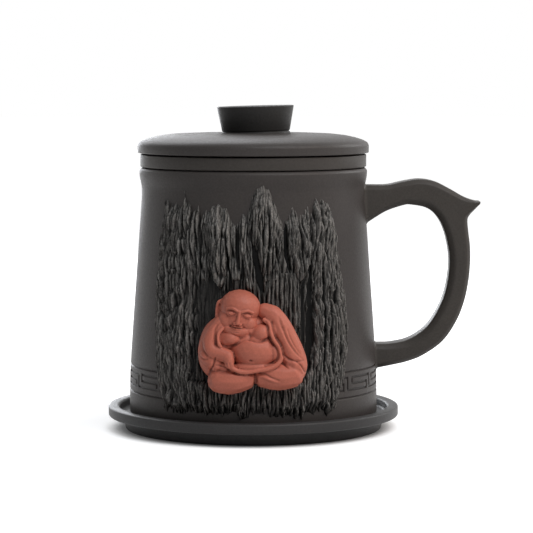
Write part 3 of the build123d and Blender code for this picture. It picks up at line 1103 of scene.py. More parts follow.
# ---------------------------------------------------------------- cliff


@dataclass(frozen=True)
class Crag:
    """A mass of rock on the cliff.

    Attributes:
        left: Turn of the left side by height, in degrees to the right of the mug's front.
        right: Turn of the right side by height.
        stand: How far it stands out of the wall in mm.
        edge: Width in mm over which its sides rise.
        rough: Share of the full tool marks that it carries.
        flutes: Height in mm of its even upright flutes.
        crown: Share by which its top is smoother.
    """

    left: Curve1D
    right: Curve1D
    stand: float
    edge: float = 1.5
    rough: float = 1.0
    flutes: float = 0.0
    crown: float = 0.0


def rising(*stations: Point) -> Curve1D:
    """Curve by height from stations given from the top down."""
    return Curve1D(tuple(reversed(stations)))


CRAGS: dict[str, Crag] = {
    "left_mass": Crag(
        rising(
            (95, -48.5), (84, -50), (78, -51.5), (63, -53), (51, -52.6), (39, -52), (30, -50), (22, -47.5),
            (8, -43),
        ),
        rising(
            (96, -30), (89, -28.8), (85, -26.5), (70, -26.2), (63, -28.6), (52, -28.6), (41, -26.8),
            (32, -29.2), (8, -28),
        ),
        3.0,
    ),
    "left_step": Crag(
        rising((92, -27), (82, -26.8), (68, -26), (62, -24)), rising((89, -21), (80, -21), (62, -22)), 2.3, 1.2
    ),
    "left_crag": Crag(
        rising(
            (90.6, -19.2), (88.7, -21.4), (84.9, -23.4), (79, -22.6), (73, -20.7), (66.8, -19.4), (62, -17.4),
            (58.6, -15.3),
        ),
        rising(
            (90.6, -15.6), (88.4, -12.4), (84.5, -9.4), (80.4, -8.2), (73.4, -8.9), (67, -11), (63.4, -13),
            (58.6, -14.7),
        ),
        4.3,
        2.6,
        crown=0.4,
    ),
    "inner_step": Crag(rising((84, -9.5), (62, -9.5)), rising((84, -6.6), (62, -5.5)), 2.2, 1.0),
    "spire": Crag(
        rising((87, -4.9), (81, -6.1), (73.4, -6), (67, -4.6), (58.4, -2.2)),
        rising((87, -4.2), (79.3, -2.6), (73.4, -2.5), (67, -1.2), (58.4, 0.8)),
        3.3,
        1.2,
    ),
    "peak": Crag(
        rising(
            (98.0, 4.2), (95.5, 2.4), (92.7, 0.6), (89.2, -0.8), (82.2, -0.4), (76.4, 1.3), (69.4, 3.4),
            (61.5, 5.4),
        ),
        rising(
            (98.0, 7.2), (95.5, 8.9), (89.1, 11.0), (84.5, 12.2), (76.3, 11.8), (70.5, 10.3), (66.4, 9.4),
            (61.5, 7.6),
        ),
        4.6,
        2.4,
        crown=0.65,
    ),
    "peak_shoulder": Crag(
        rising((87.5, 12), (82, 11), (62, 10)), rising((87.5, 13), (82, 15), (73, 14.7), (62, 11.4)), 2.9, 1.2
    ),
    "right_crag": Crag(
        rising((86.8, 19), (83.2, 17.4), (76.2, 16.4), (70.4, 17), (65.1, 19.5), (61, 21.6)),
        rising((86.8, 20), (84.8, 25), (81.8, 28.1), (73, 27.8), (67.8, 26.8), (61, 22.4)),
        4.3,
        2.2,
    ),
    "right_mass": Crag(
        rising(
            (97, 31), (79, 28.9), (70, 28.5), (62, 29.6), (52, 29.2), (41, 28.1), (29, 26.1), (24, 22),
            (8, 20),
        ),
        rising(
            (97, 36), (89, 42), (83, 44.6), (76.5, 46.6), (66, 47.1), (57, 48.4), (45, 49), (33, 48.4),
            (25, 46.4), (19, 43.6), (8, 37),
        ),
        3.3,
    ),
    "fluted_panel": Crag(rising((66, 4.5), (44, 7)), rising((66, 21), (44, 22.5)), 2.0, 1.5, 0.5, 1.1),
    "back": Crag(rising((66, -9), (20, -9)), rising((66, 9), (20, 9)), 1.5, 2.0, 0.5, 0.5),
    "ledge": Crag(rising((24, -30), (22, -30), (8, -44)), rising((24, 20), (22, 30), (8, 40)), 3.2, 1.5),
}


@dataclass
class Cliff:
    """Cliff in applied relief, tooled to look like split rock, with painted shade in its hollows and painted
    highlights on its ridges.

    Turns are in degrees to the right of the mug's front, other sizes in mm.

    Attributes:
        turn_low: Turn of the left end.
        turn_high: Turn of the right end.
        seam: Turn where the two halves meet.
        low: Height of the lower end.
        high: Height of the upper end.
        across_step: Width of a face.
        up_step: Height of a face.
        mean_radius: Radius at which the faces have that width.
        back_steps: Faces along each side of the hidden back.
        skin: Stand from which a crag's sides rise.
        sunk: How deep the relief lies in the wall outside its outline.
        back: How deep its hidden back lies in the wall.
        fade: Distance on both sides of the outline over which it sinks.
        fill: Stand between the crags, low down and high up.
        fill_heights: Heights from one to the other.
        fill_rough: Share of the tool marks between the crags.
        fill_flutes: Height of the flutes between them, low down.
        crown_span: Distances below the outline's top where a smooth crown ends and is full.
        flute_width: Width of a flute.
        cleft_shade: Painted shade for each millimetre of a cleft.
        deep_shade: Painted shade on low ground.
        deep_stands: Stands where that is none and where it is full.
        cave_shade: Painted shade in the hollow behind the figure.
        cave_stand: Stand of the hollow's ground.
        cave_rough: Share of the tool marks in it.
        cave_heights: Its lower and upper end.
        cave_rims: Widths over which it begins at its left, top and bottom.
        foot_shade: Painted shade along the outline's foot.
        foot_height: Distance above the outline's foot where that is none.
        crest: How much less painted shade the rock high up has.
        crest_heights: Heights from none of that to all of it.
        crest_turns: Turns from none of it to all of it.
        side_shade_fade: Distance from the outline's sides within which there is less painted shade.
        thin_edge: Greatest stand at the outline itself.
        top_slope: Rise of that for each millimetre in from the top.
        side_slope: Rise of it from the sides.
        bottom_slope: Rise of it from the foot.
        close_reach: Reach across and up of the near surroundings that the painted shade looks at.
        wide_reach: Reach of the wide ones.
        close_gain: Lightening for each millimetre above the near surroundings and darkening below them, as painted
            highlight and shade mixed with signs of use.
        wide_gain: The same for each millimetre above the wide ones.
        tips: Raggedness of the outline's top by turn.
        top: Height of the outline's top by turn.
        bottom: Height of its foot by turn.
        clefts: Turn, height, half width in degrees and depth along each cleft, from the top.
        cave: Turns of the hollow's left and right side by height.
    """

    turn_low: float = -57.5
    turn_high: float = 53.0
    seam: float = -1.6
    low: float = 7.0
    high: float = 99.0
    across_step: float = 0.17
    up_step: float = 0.30
    mean_radius: float = 46.0
    back_steps: int = 24
    skin: float = 1.0
    sunk: float = 0.9
    back: float = 1.9
    fade: float = 0.6
    fill: Point = (1.3, 2.3)
    fill_heights: Point = (60.0, 68.0)
    fill_rough: float = 0.95
    fill_flutes: float = 0.6
    crown_span: Point = (11.2, 4.2)
    flute_width: float = 1.65
    cleft_shade: float = 0.42
    deep_shade: float = 0.7
    deep_stands: Point = (2.2, 0.8)
    cave_shade: float = 0.66
    cave_stand: float = 0.75
    cave_rough: float = 0.16
    cave_heights: Point = (22.5, 63.0)
    cave_rims: tuple[float, float, float] = (1.6, 3.0, 2.0)
    foot_shade: float = 0.5
    foot_height: float = 7.0
    crest: float = 0.45
    crest_heights: Point = (58.0, 84.0)
    crest_turns: Point = (-28.0, -20.0)
    side_shade_fade: float = 4.0
    thin_edge: float = 0.3
    top_slope: float = 0.5
    side_slope: float = 0.6
    bottom_slope: float = 0.75
    close_reach: Point = (0.5, 0.7)
    wide_reach: Point = (2.6, 3.4)
    close_gain: float = 0.9
    wide_gain: float = 0.22
    tips: Curve1D = Curve1D(
        (
            (-53, 1.0), (-30, 1.5), (-22, 0.6), (-7, 0.6), (-2, 0.25), (10, 0.3), (15, 1.0), (29, 1.3),
            (47, 1.0),
        ),
    )
    top: Curve1D = Curve1D(
        (
            (-53, 80), (-49.6, 90.6), (-47.6, 92.4), (-44, 90.2), (-40, 91.4), (-35.8, 94.2), (-33.5, 92.0),
            (-31.6, 90.8), (-28.4, 88.1), (-25.3, 85.9), (-23.4, 88.4), (-20.0, 90.6), (-16.4, 90.8),
            (-12.6, 88.2), (-10.4, 84.8), (-8.4, 83.0), (-7.2, 83.6), (-5.0, 86.4), (-3.2, 86.0),
            (-1.6, 89.8), (-0.1, 93.8), (2.4, 96.9), (5.2, 97.9), (8.0, 96.6), (10.3, 91.8), (13.0, 87.0),
            (15.8, 84.6), (17.4, 84.8), (20.2, 88.2), (22.4, 86.0), (26, 86.6), (29.5, 87.2), (33.0, 89.4),
            (35.8, 93.0), (38.0, 90.4), (40.6, 90.6), (43.8, 87.3), (47, 80),
        )
    )  # fmt: skip
    bottom: Curve1D = Curve1D(
        (
            (-50, 16), (-42, 11.4), (-36, 10.6), (-30, 11.2), (-25, 11.6), (-20, 11.2), (-13.7, 10.8),
            (-9, 12.8), (-4.3, 9.2), (1, 12.4), (8.3, 11.0), (15.7, 10.6), (22.1, 9.8), (25, 12.2),
            (28, 11.0), (31.5, 12.6), (35.2, 9.4), (38, 11.2), (44, 17),
        )
    )  # fmt: skip
    clefts: tuple[Path, ...] = (
        ((0.2, 77, 0.7, 1.4), (1.6, 70, 1.2, 2.6), (3.0, 63, 1.5, 2.8), (4.6, 57, 0.9, 2.0)),
        ((15.9, 85, 0.9, 1.6), (15.6, 76, 1.0, 2.6), (16.0, 70, 1.1, 2.6), (18.2, 64, 0.8, 1.6)),
        (
            (28.0, 74, 0.5, 1.0), (27.4, 66, 1.0, 2.2), (27.0, 58, 1.2, 2.4), (26.6, 49, 1.2, 2.4),
            (25.6, 38, 1.2, 2.2), (25, 27, 0.8, 1.6),
        ),
        ((23.6, 62, 0.4, 0.8), (23.2, 54, 0.7, 1.6), (23.6, 44, 0.7, 1.8), (22.8, 32, 0.5, 1.2)),
        (
            (33.2, 72, 0.4, 0.8), (34.2, 60, 0.8, 2.4), (34.2, 46, 1.0, 2.8), (33.2, 37, 1.0, 2.6),
            (32.0, 25, 0.6, 1.6),
        ),
        ((10.3, 67.4, 0.6, 1.0), (10.9, 63.4, 0.9, 2.0)),
        ((-12.4, 79, 0.4, 0.6), (-11.2, 70, 0.6, 1.6), (-11.8, 64.5, 0.9, 2.2)),
        ((-7.6, 84, 0.6, 1.0), (-7.2, 74, 0.9, 1.8), (-6.2, 64, 0.9, 1.4)),
        ((-25.4, 84, 0.4, 0.8), (-25.0, 74, 0.7, 1.6), (-24.6, 64, 0.9, 1.2)),
    )
    cave: tuple[Curve1D, Curve1D] = (
        rising((63, -25.5), (58, -27.6), (49.6, -27.0), (40.8, -26.2), (34, -25.0), (28, -21.5), (22.5, -19)),
        rising((63, -19), (56, -12), (40, -9), (22.5, -9)),
    )

    def fibres(self, across: float, height: float) -> float:
        """Upright splits, strands and flakes of the tooled clay.

        Args:
            across: Distance round the wall in mm.
            height: Height above the table in mm.

        Returns:
            Height of the marks in mm, about nought.
        """
        bend = 1.3 * ripple(across * 0.08, height * 0.035, 3.1)
        bend += 0.22 * ripple(across * 0.40, height * 0.10, 7.7)
        place = across + bend
        strand = abs(ripple(place * 0.36, height * 0.030, 0.5)) ** 0.6
        split = abs(ripple(place * 0.95, height * 0.060, 5.2)) ** 0.6
        hair = (1.0 - abs(ripple(place * 1.9, height * 0.12, 9.4))) ** 3
        slab = place * 0.40 + 1.2 * ripple(place * 0.22, height * 0.045, 13.6)
        shingle = height * 0.11 + 1.6 * ripple(place * 0.42, height * 0.04, 2.2)
        flakes = 0.9 * (slab % 1.0) + 0.6 * (shingle % 1.0) - 0.75
        long_slot = ripple(place * 0.55, height * 0.055, 17.0)
        short_slot = ripple(place * 1.05, height * 0.14, 29.0)
        open_slot = ripple(across * 0.30, height * 0.10, 23.0)
        slots = 2.1 * smooth_share(0.45 + 2.6 * open_slot) * math.exp(-((long_slot / 0.17) ** 2))
        slots += 1.3 * smooth_share(0.6 - 2.2 * open_slot) * math.exp(-((short_slot / 0.26) ** 2))
        force = 0.75 + 0.9 * ripple(across * 0.11, height * 0.05, 41.0)
        marks = 1.2 * (strand - 0.38) + 0.9 * (split - 0.38) + 0.4 * (hair - 0.5) + flakes
        return max(force, 0.35) * marks - slots

    def cleft_depth(self, turn: float, height: float) -> float:
        """Find how much the dark clefts take off.

        Args:
            turn: Degrees to the right of the front.
            height: Height above the table.

        Returns:
            The depth in mm, 0 outside the clefts.
        """
        depth = 0.0
        for cleft in self.clefts:
            if not cleft[-1][1] - 2.0 < height < cleft[0][1] + 2.0:
                continue
            for (t0, h0, w0, d0), (t1, h1, w1, d1) in zip(cleft, cleft[1:]):
                if h1 <= height <= h0:
                    share = (h0 - height) / (h0 - h1)
                    off = (turn - lerp(t0, t1, share)) / lerp(w0, w1, share)
                    ends = smooth_share(min(cleft[0][1] - height, height - cleft[-1][1]) / 3.0)
                    depth = max(depth, lerp(d0, d1, share) * ends * math.exp(-(off**4)))
        return depth

    def row(self, height: float, turns: Sequence[float]) -> tuple[list[float], list[float]]:
        """How far the relief stands out of the wall along one level, and how much shade is painted there.

        Args:
            height: Height above the table.
            turns: Places along the level in degrees.

        Returns:
            For each place its stand in mm, negative where the relief is sunk in the wall, and the share of painted
            shade in it.
        """
        scale = math.radians(WALL.at(height))
        left = CRAGS["left_mass"].left.at(height)
        right = CRAGS["right_mass"].right.at(height)
        spans = []
        for crag in CRAGS.values():
            low, high = crag.left.stations[0][0], crag.left.stations[-1][0]
            if low < height < high:
                ends = min(height - low, high - height)
                spans.append((crag.left.at(height), crag.right.at(height), crag, ends))
        cave_left, cave_right = (side.at(height) for side in self.cave)
        cave_low, cave_high = self.cave_heights
        rim_left, rim_top, rim_low = self.cave_rims
        filled = ramp(height, *self.fill_heights)
        ground = (lerp(*self.fill, filled), self.fill_rough, lerp(self.fill_flutes, 0.0, filled), 0.0)
        stands, painted_shades = [], []
        for turn in turns:
            across = turn * scale
            tip = self.tips.at(turn) * ripple(across * 0.62, 3.7, 21.3)
            tip += 0.45 * self.tips.at(turn) * ripple(across * 1.7, height * 0.2, 24.9)
            strand = ripple(across * 0.7, height * 0.075, 30.1)
            strand += 0.5 * ripple(across * 1.5, height * 0.25, 34.7)
            below = self.top.at(turn) - height + 3.4 * tip
            beside = min((turn - left) * scale, (right - turn) * scale) + 1.7 * strand
            above = height - self.bottom.at(turn) + 1.3 * strand
            inside = min(below, beside, above)
            if inside < -self.fade:
                stands.append(-self.sunk)
                painted_shades.append(0.0)
                continue
            stand, rough, flutes, crown = ground
            for crag_left, crag_right, crag, ends in spans:
                wander = 0.9 * ripple(height * 0.22, crag.stand * 7.0, across * 0.05)
                near = min((turn - crag_left) * scale, (crag_right - turn) * scale) + wander
                near = min(near, ends * 0.8)
                if near > 0.0:
                    share = 1.0 - (1.0 - min(near / crag.edge, 1.0)) ** 2
                    rise = lerp(self.skin, crag.stand, math.sqrt(share))
                    if rise > stand:
                        stand, rough, flutes, crown = rise, crag.rough, crag.flutes, crag.crown
            rough *= 1.0 - crown * ramp(below, *self.crown_span)
            # Painted shade: darker on low ground, in the hollow behind the figure, in the clefts and along the
            # foot, and less of it high up on the rock and near the outline's sides.
            painted_shade = self.deep_shade * ramp(stand, *self.deep_stands)
            if cave_left < turn < cave_right and cave_low < height < cave_high:
                beyond = ((turn - cave_left) * scale / rim_left, (cave_high - height) / rim_top)
                hollow = smooth_share(min(*beyond, (height - cave_low) / rim_low))
                stand = lerp(stand, self.cave_stand, hollow)
                rough = lerp(rough, self.cave_rough, hollow)
                flutes *= 1.0 - hollow
                painted_shade = lerp(painted_shade, self.cave_shade, hollow)
            cleft = self.cleft_depth(turn, height)
            stand -= cleft
            painted_shade += self.cleft_shade * cleft + self.foot_shade * ramp(above, self.foot_height, 0.0)
            painted_shade -= self.crest * ramp(height, *self.crest_heights) * ramp(turn, *self.crest_turns)
            painted_shade = min(painted_shade, 1.0) * ramp(beside, 0.0, self.side_shade_fade)
            if flutes:
                swell = abs(math.sin(math.pi * (across + 0.35 * strand) / self.flute_width)) ** 0.8
                stand += flutes * (swell - 0.65)
            thin = min(below * self.top_slope, beside * self.side_slope, above * self.bottom_slope)
            cap = self.thin_edge + max(thin, 0.0)
            rough *= min(1.0, 0.35 + cap / 3.0)
            stand = min(stand, cap) + rough * self.fibres(across, height)
            stand = max(stand, lerp(-self.sunk, 0.15, ramp(inside, 0.0, 3.5)))
            stands.append(lerp(-self.sunk, stand, ramp(inside, -self.fade, self.fade)))
            painted_shades.append(painted_shade)
        return stands, painted_shades

    def wear_and_shade(self, stands: Sequence[Sequence[float]], painted_shades: Sequence[Sequence[float]]) -> list[list[float]]:
        """How far each place stands out of what is round it, for painted shade and highlights mixed with signs of
        use.

        Args:
            stands: Rows of stands in mm.
            painted_shades: Rows of the painted shade's share.

        Returns:
            Rows of values: 0 deep in a crevice, 0.5 on a flat, 1 on a ridge.
        """
        # Places below their surroundings get painted shade and places above them painted highlights, mixed with
        # signs of use, and the rows' painted shade darkens them further.
        solid = [[max(stand, 0.0) for stand in row] for row in stands]
        close, wide = (
            softened(solid, round(across / self.across_step), round(up / self.up_step))
            for across, up in (self.close_reach, self.wide_reach)
        )
        values = (
            [
                0.5 + self.close_gain * (stand - near) + self.wide_gain * (stand - far) - 0.5 * painted_shade
                for stand, near, far, painted_shade in zip(*rows)
            ]
            for rows in zip(solid, close, wide, painted_shades)
        )
        return [[min(max(value, 0.0), 1.0) for value in row] for row in values]

    def half(self, name: str, first: float, last: float, clay: bpy.types.Material) -> None:
        """Model one half of the cliff as a closed slab and dress it.

        Args:
            name: The piece's name.
            first: Turn of its left end in degrees.
            last: Turn of its right end.
            clay: Its material.
        """
        columns = round(math.radians(last - first) * self.mean_radius / self.across_step)
        rows = round((self.high - self.low) / self.up_step)
        turns = [lerp(first, last, column / columns) for column in range(columns + 1)]
        heights = [lerp(self.low, self.high, row / rows) for row in range(rows + 1)]
        stands, painted_shades = zip(*(self.row(height, turns) for height in heights))
        # Painted shade and highlights, mixed with signs of use, stored on each point.
        wear_and_shade = self.wear_and_shade(stands, painted_shades)
        form = bmesh.new()
        worn_and_shaded = form.verts.layers.float.new(SHADE_AND_WEAR)
        for vert, column, row in lattice(form, columns, rows):
            vert.co = self.spot(turns[column], heights[row], stands[row][column])
            vert[worn_and_shaded] = wear_and_shade[row][column]
        edge = [item for item in form.edges if item.is_boundary]
        steps = self.back_steps
        behind = bmesh.ops.create_grid(form, x_segments=steps, y_segments=steps, size=1.0)["verts"]
        for vert in behind:
            turn = lerp(first, last, (vert.co.x + 1.0) / 2.0)
            height = lerp(self.low, self.high, (vert.co.y + 1.0) / 2.0)
            vert.co = self.spot(turn, height, -self.back)
        loop = [item for item in {link for vert in behind for link in vert.link_edges} if item.is_boundary]
        bmesh.ops.bridge_loops(form, edges=edge + loop)
        bmesh.ops.recalc_face_normals(form, faces=form.faces)
        deliver(shown(form, name, 180.0), clay, Body.MUG, Slot.CLIFF, "rock_relief")

    def spot(self, turn: float, height: float, stand: float) -> Vector:
        """Find a place on the relief.

        Args:
            turn: Degrees to the right of the front.
            height: Height above the table.
            stand: Distance out of the wall.

        Returns:
            The place in metres.
        """
        reach = WALL.at(height) + stand
        angle = math.radians(turn)
        return Vector((reach * math.sin(angle), -reach * math.cos(angle), height)) * MM

    def build(self, clays: Clays) -> None:
        """Model and dress both halves.

        Args:
            clays: Every clay of the set.
        """
        clay = clays.cliff.material()
        self.half("left_cliff", self.turn_low, self.seam, clay)
        self.half("right_cliff", self.seam, self.turn_high, clay)


# ---------------------------------------------------------------- monk


class Sculpture:
    """Clay figure put together from pellets and rolls, fused, and carved from the front.

    Everything is in mm in the sculpture's own frame, whose front is -Y.
    """

    def __init__(self, grain: float) -> None:
        """Start with no clay.

        Args:
            grain: Size of the fused surface's faces.
        """
        self.grain = grain
        self.form = bmesh.new()

    def pellet(self, place: Sequence[float], half: Sequence[float], lean: float = 0.0, faces: int = 3) -> None:
        """Add an egg of clay.

        Args:
            place: Its middle.
            half: Its half sizes across, deep and high.
            lean: Degrees that its top leans to the right.
            faces: Subdivisions of its surface.
        """
        turn = Euler((0.0, math.radians(lean), 0.0)).to_matrix().to_4x4()
        matrix = Matrix.Translation(place) @ turn @ Matrix.Diagonal((*half, 1.0))
        bmesh.ops.create_icosphere(self.form, subdivisions=faces, radius=1.0, matrix=matrix)

    def roll(self, points: Sequence[Sequence[float]], steps: int = 7) -> None:
        """Add a roll of clay.

        Args:
            points: Across, depth, height and radius along the roll.
            steps: Pellets from one point to the next.
        """
        for x, y, z, radius in flowing(points, steps):
            self.pellet((x, y, z), (radius, radius, radius), faces=2)

    def fuse(self, softenings: int) -> None:
        """Join the clay into one closed skin.

        Args:
            softenings: Rounds of smoothing.
        """
        mesh = bpy.data.meshes.new("raw_clay")
        self.form.to_mesh(mesh)
        self.form.free()
        lump = bpy.data.objects.new("raw_clay", mesh)
        bpy.context.collection.objects.link(lump)
        skin = lump.modifiers.new("skin", "REMESH")
        skin.mode = "VOXEL"
        skin.voxel_size = self.grain
        soft = lump.modifiers.new("soft", "SMOOTH")
        soft.factor = 0.5
        soft.iterations = softenings
        whole = lump.evaluated_get(bpy.context.evaluated_depsgraph_get())
        fused = bpy.data.meshes.new_from_object(whole)
        self.form = bmesh.new()
        self.form.from_mesh(fused)
        bpy.data.objects.remove(lump)
        for spent in (mesh, fused):
            bpy.data.meshes.remove(spent)

    def carve(self, cuts: Iterable[Sequence[Sequence[float]]], softenings: int = 1) -> None:
        """Press lines into the front, or raise them.

        Args:
            cuts: Paths of across, height, depth and half width; a negative depth raises.
            softenings: Rounds of smoothing afterwards.
        """
        self.form.normal_update()
        self.form.verts.ensure_lookup_table()
        verts = self.form.verts
        front = [vert.index for vert in verts if vert.normal.y < 0.35]
        tree = kdtree.KDTree(len(front))
        for index in front:
            tree.insert((verts[index].co.x, verts[index].co.z, 0.0), index)
        tree.balance()
        total: dict[int, float] = {}
        for cut in cuts:
            deepest: dict[int, float] = {}
            for x, z, depth, half in flowing(cut, 10):
                for _, index, away in tree.find_range((x, z, 0.0), 2.2 * half):
                    amount = depth * math.exp(-((away / half) ** 2))
                    if abs(amount) > abs(deepest.get(index, 0.0)):
                        deepest[index] = amount
            for index, amount in deepest.items():
                total[index] = total.get(index, 0.0) + amount
        for index, amount in total.items():
            verts[index].co -= verts[index].normal * amount
        for _ in range(softenings):
            bmesh.ops.smooth_vert(
                self.form, verts=verts[:], factor=0.35, use_axis_x=True, use_axis_y=True, use_axis_z=True,
            )


@dataclass(frozen=True)
class Egg:
    """An egg of clay on the figure, placed by its front.

    Attributes:
        x: Place across in mm.
        z: Height of its middle.
        half: Its half sizes across, deep and high.
        front: How far its front stands out of the cliff.
        lean: Degrees that its top leans to the right.
    """

    x: float
    z: float
    half: tuple[float, float, float]
    front: float
    lean: float = 0.0


# lumps of the robed body in order: eggs, and rolls as across, height, radius and front
BODY: tuple[Egg | Path, ...] = (
    Egg(0.6, 35.4, (14.5, 9.0, 13.0), 6.6),
    Egg(-3.0, 45.5, (9.5, 6.0, 5.0), 7.4),
    (
        (-9.6, 47.0, 4.0, 7.2), (-13.2, 43.2, 4.9, 7.6), (-15.2, 38.0, 5.2, 7.8), (-15.7, 33.6, 4.7, 7.4),
        (-14.8, 30.2, 4.0, 6.6),
    ),
    (
        (-11.8, 46.4, 3.0, 8.4), (-14.6, 42.6, 3.0, 9.0), (-15.9, 39.2, 2.9, 9.4), (-14.9, 36.6, 2.9, 9.9),
        (-12.2, 35.7, 2.8, 10.4), (-9.6, 34.9, 2.7, 10.9),
    ),
    ((-9.2, 34.8, 2.4, 11.0), (-8.5, 33.0, 2.1, 11.2), (-8.6, 31.6, 1.8, 11.0)),
    ((-16.6, 34.6, 3.4, 8.4), (-15.0, 32.4, 2.8, 9.0), (-13.4, 31.4, 2.4, 9.2)),
    Egg(-8.0, 41.2, (4.0, 4.2, 3.1), 9.7, 8.0),
    Egg(3.4, 43.0, (4.0, 4.2, 3.6), 10.0, -15.0),
    Egg(-13.2, 40.4, (2.2, 3.0, 4.0), 8.6),
    Egg(-10.3, 30.6, (3.2, 3.0, 2.0), 8.9),
    Egg(7.8, 44.0, (2.6, 3.0, 4.4), 8.9),
    Egg(9.0, 36.0, (3.0, 3.0, 5.0), 9.2),
    Egg(1.0, 30.6, (9.0, 4.0, 2.2), 9.8),
    Egg(-2.6, 43.6, (7.5, 5.0, 4.0), 8.6),
    Egg(-9.8, 40.6, (3.4, 4.0, 4.0), 8.8),
    Egg(0.9, 36.2, (10.2, 8.6, 7.7), 11.1, 4.0),
    ((-12.0, 25.4, 5.0, 9.8), (-8.2, 25.2, 5.2, 10.3), (-4.4, 25.6, 4.5, 10.0), (-1.6, 26.0, 3.6, 9.2)),
    ((14.4, 27.3, 4.9, 9.6), (11.0, 26.9, 5.3, 10.3), (7.2, 26.7, 4.9, 10.2), (3.8, 26.4, 3.7, 9.3)),
    (
        (4.6, 51.2, 3.0, 7.4), (7.6, 49.4, 3.8, 8.4), (10.2, 45.4, 4.3, 9.0), (12.2, 40.6, 4.8, 9.2),
        (14.3, 35.6, 5.0, 9.0), (15.9, 31.2, 4.8, 8.6), (15.7, 28.6, 4.2, 8.0),
    ),
    (
        (4.3, 48.2, 0.8, 8.4), (6.2, 46.4, 0.9, 9.2), (6.9, 43.6, 0.9, 9.7), (8.1, 40.8, 0.95, 10.0),
        (9.8, 38.4, 0.95, 9.9), (10.7, 35.8, 0.95, 9.8), (10.4, 33.4, 0.95, 9.9), (8.6, 31.4, 0.95, 10.2),
        (5.6, 30.2, 0.95, 10.5), (2.6, 29.7, 0.95, 10.6), (0.2, 29.1, 0.95, 10.5), (-2.6, 28.9, 0.95, 10.5),
        (-5.4, 29.4, 0.95, 10.5), (-7.6, 30.6, 0.9, 10.6),
    ),
    (
        (-11.0, 45.0, 0.7, 8.8), (-12.4, 43.6, 0.7, 9.4), (-12.9, 41.6, 0.7, 9.8), (-12.6, 39.7, 0.7, 10.0),
        (-11.7, 38.6, 0.7, 10.0),
    ),
)  # fmt: skip

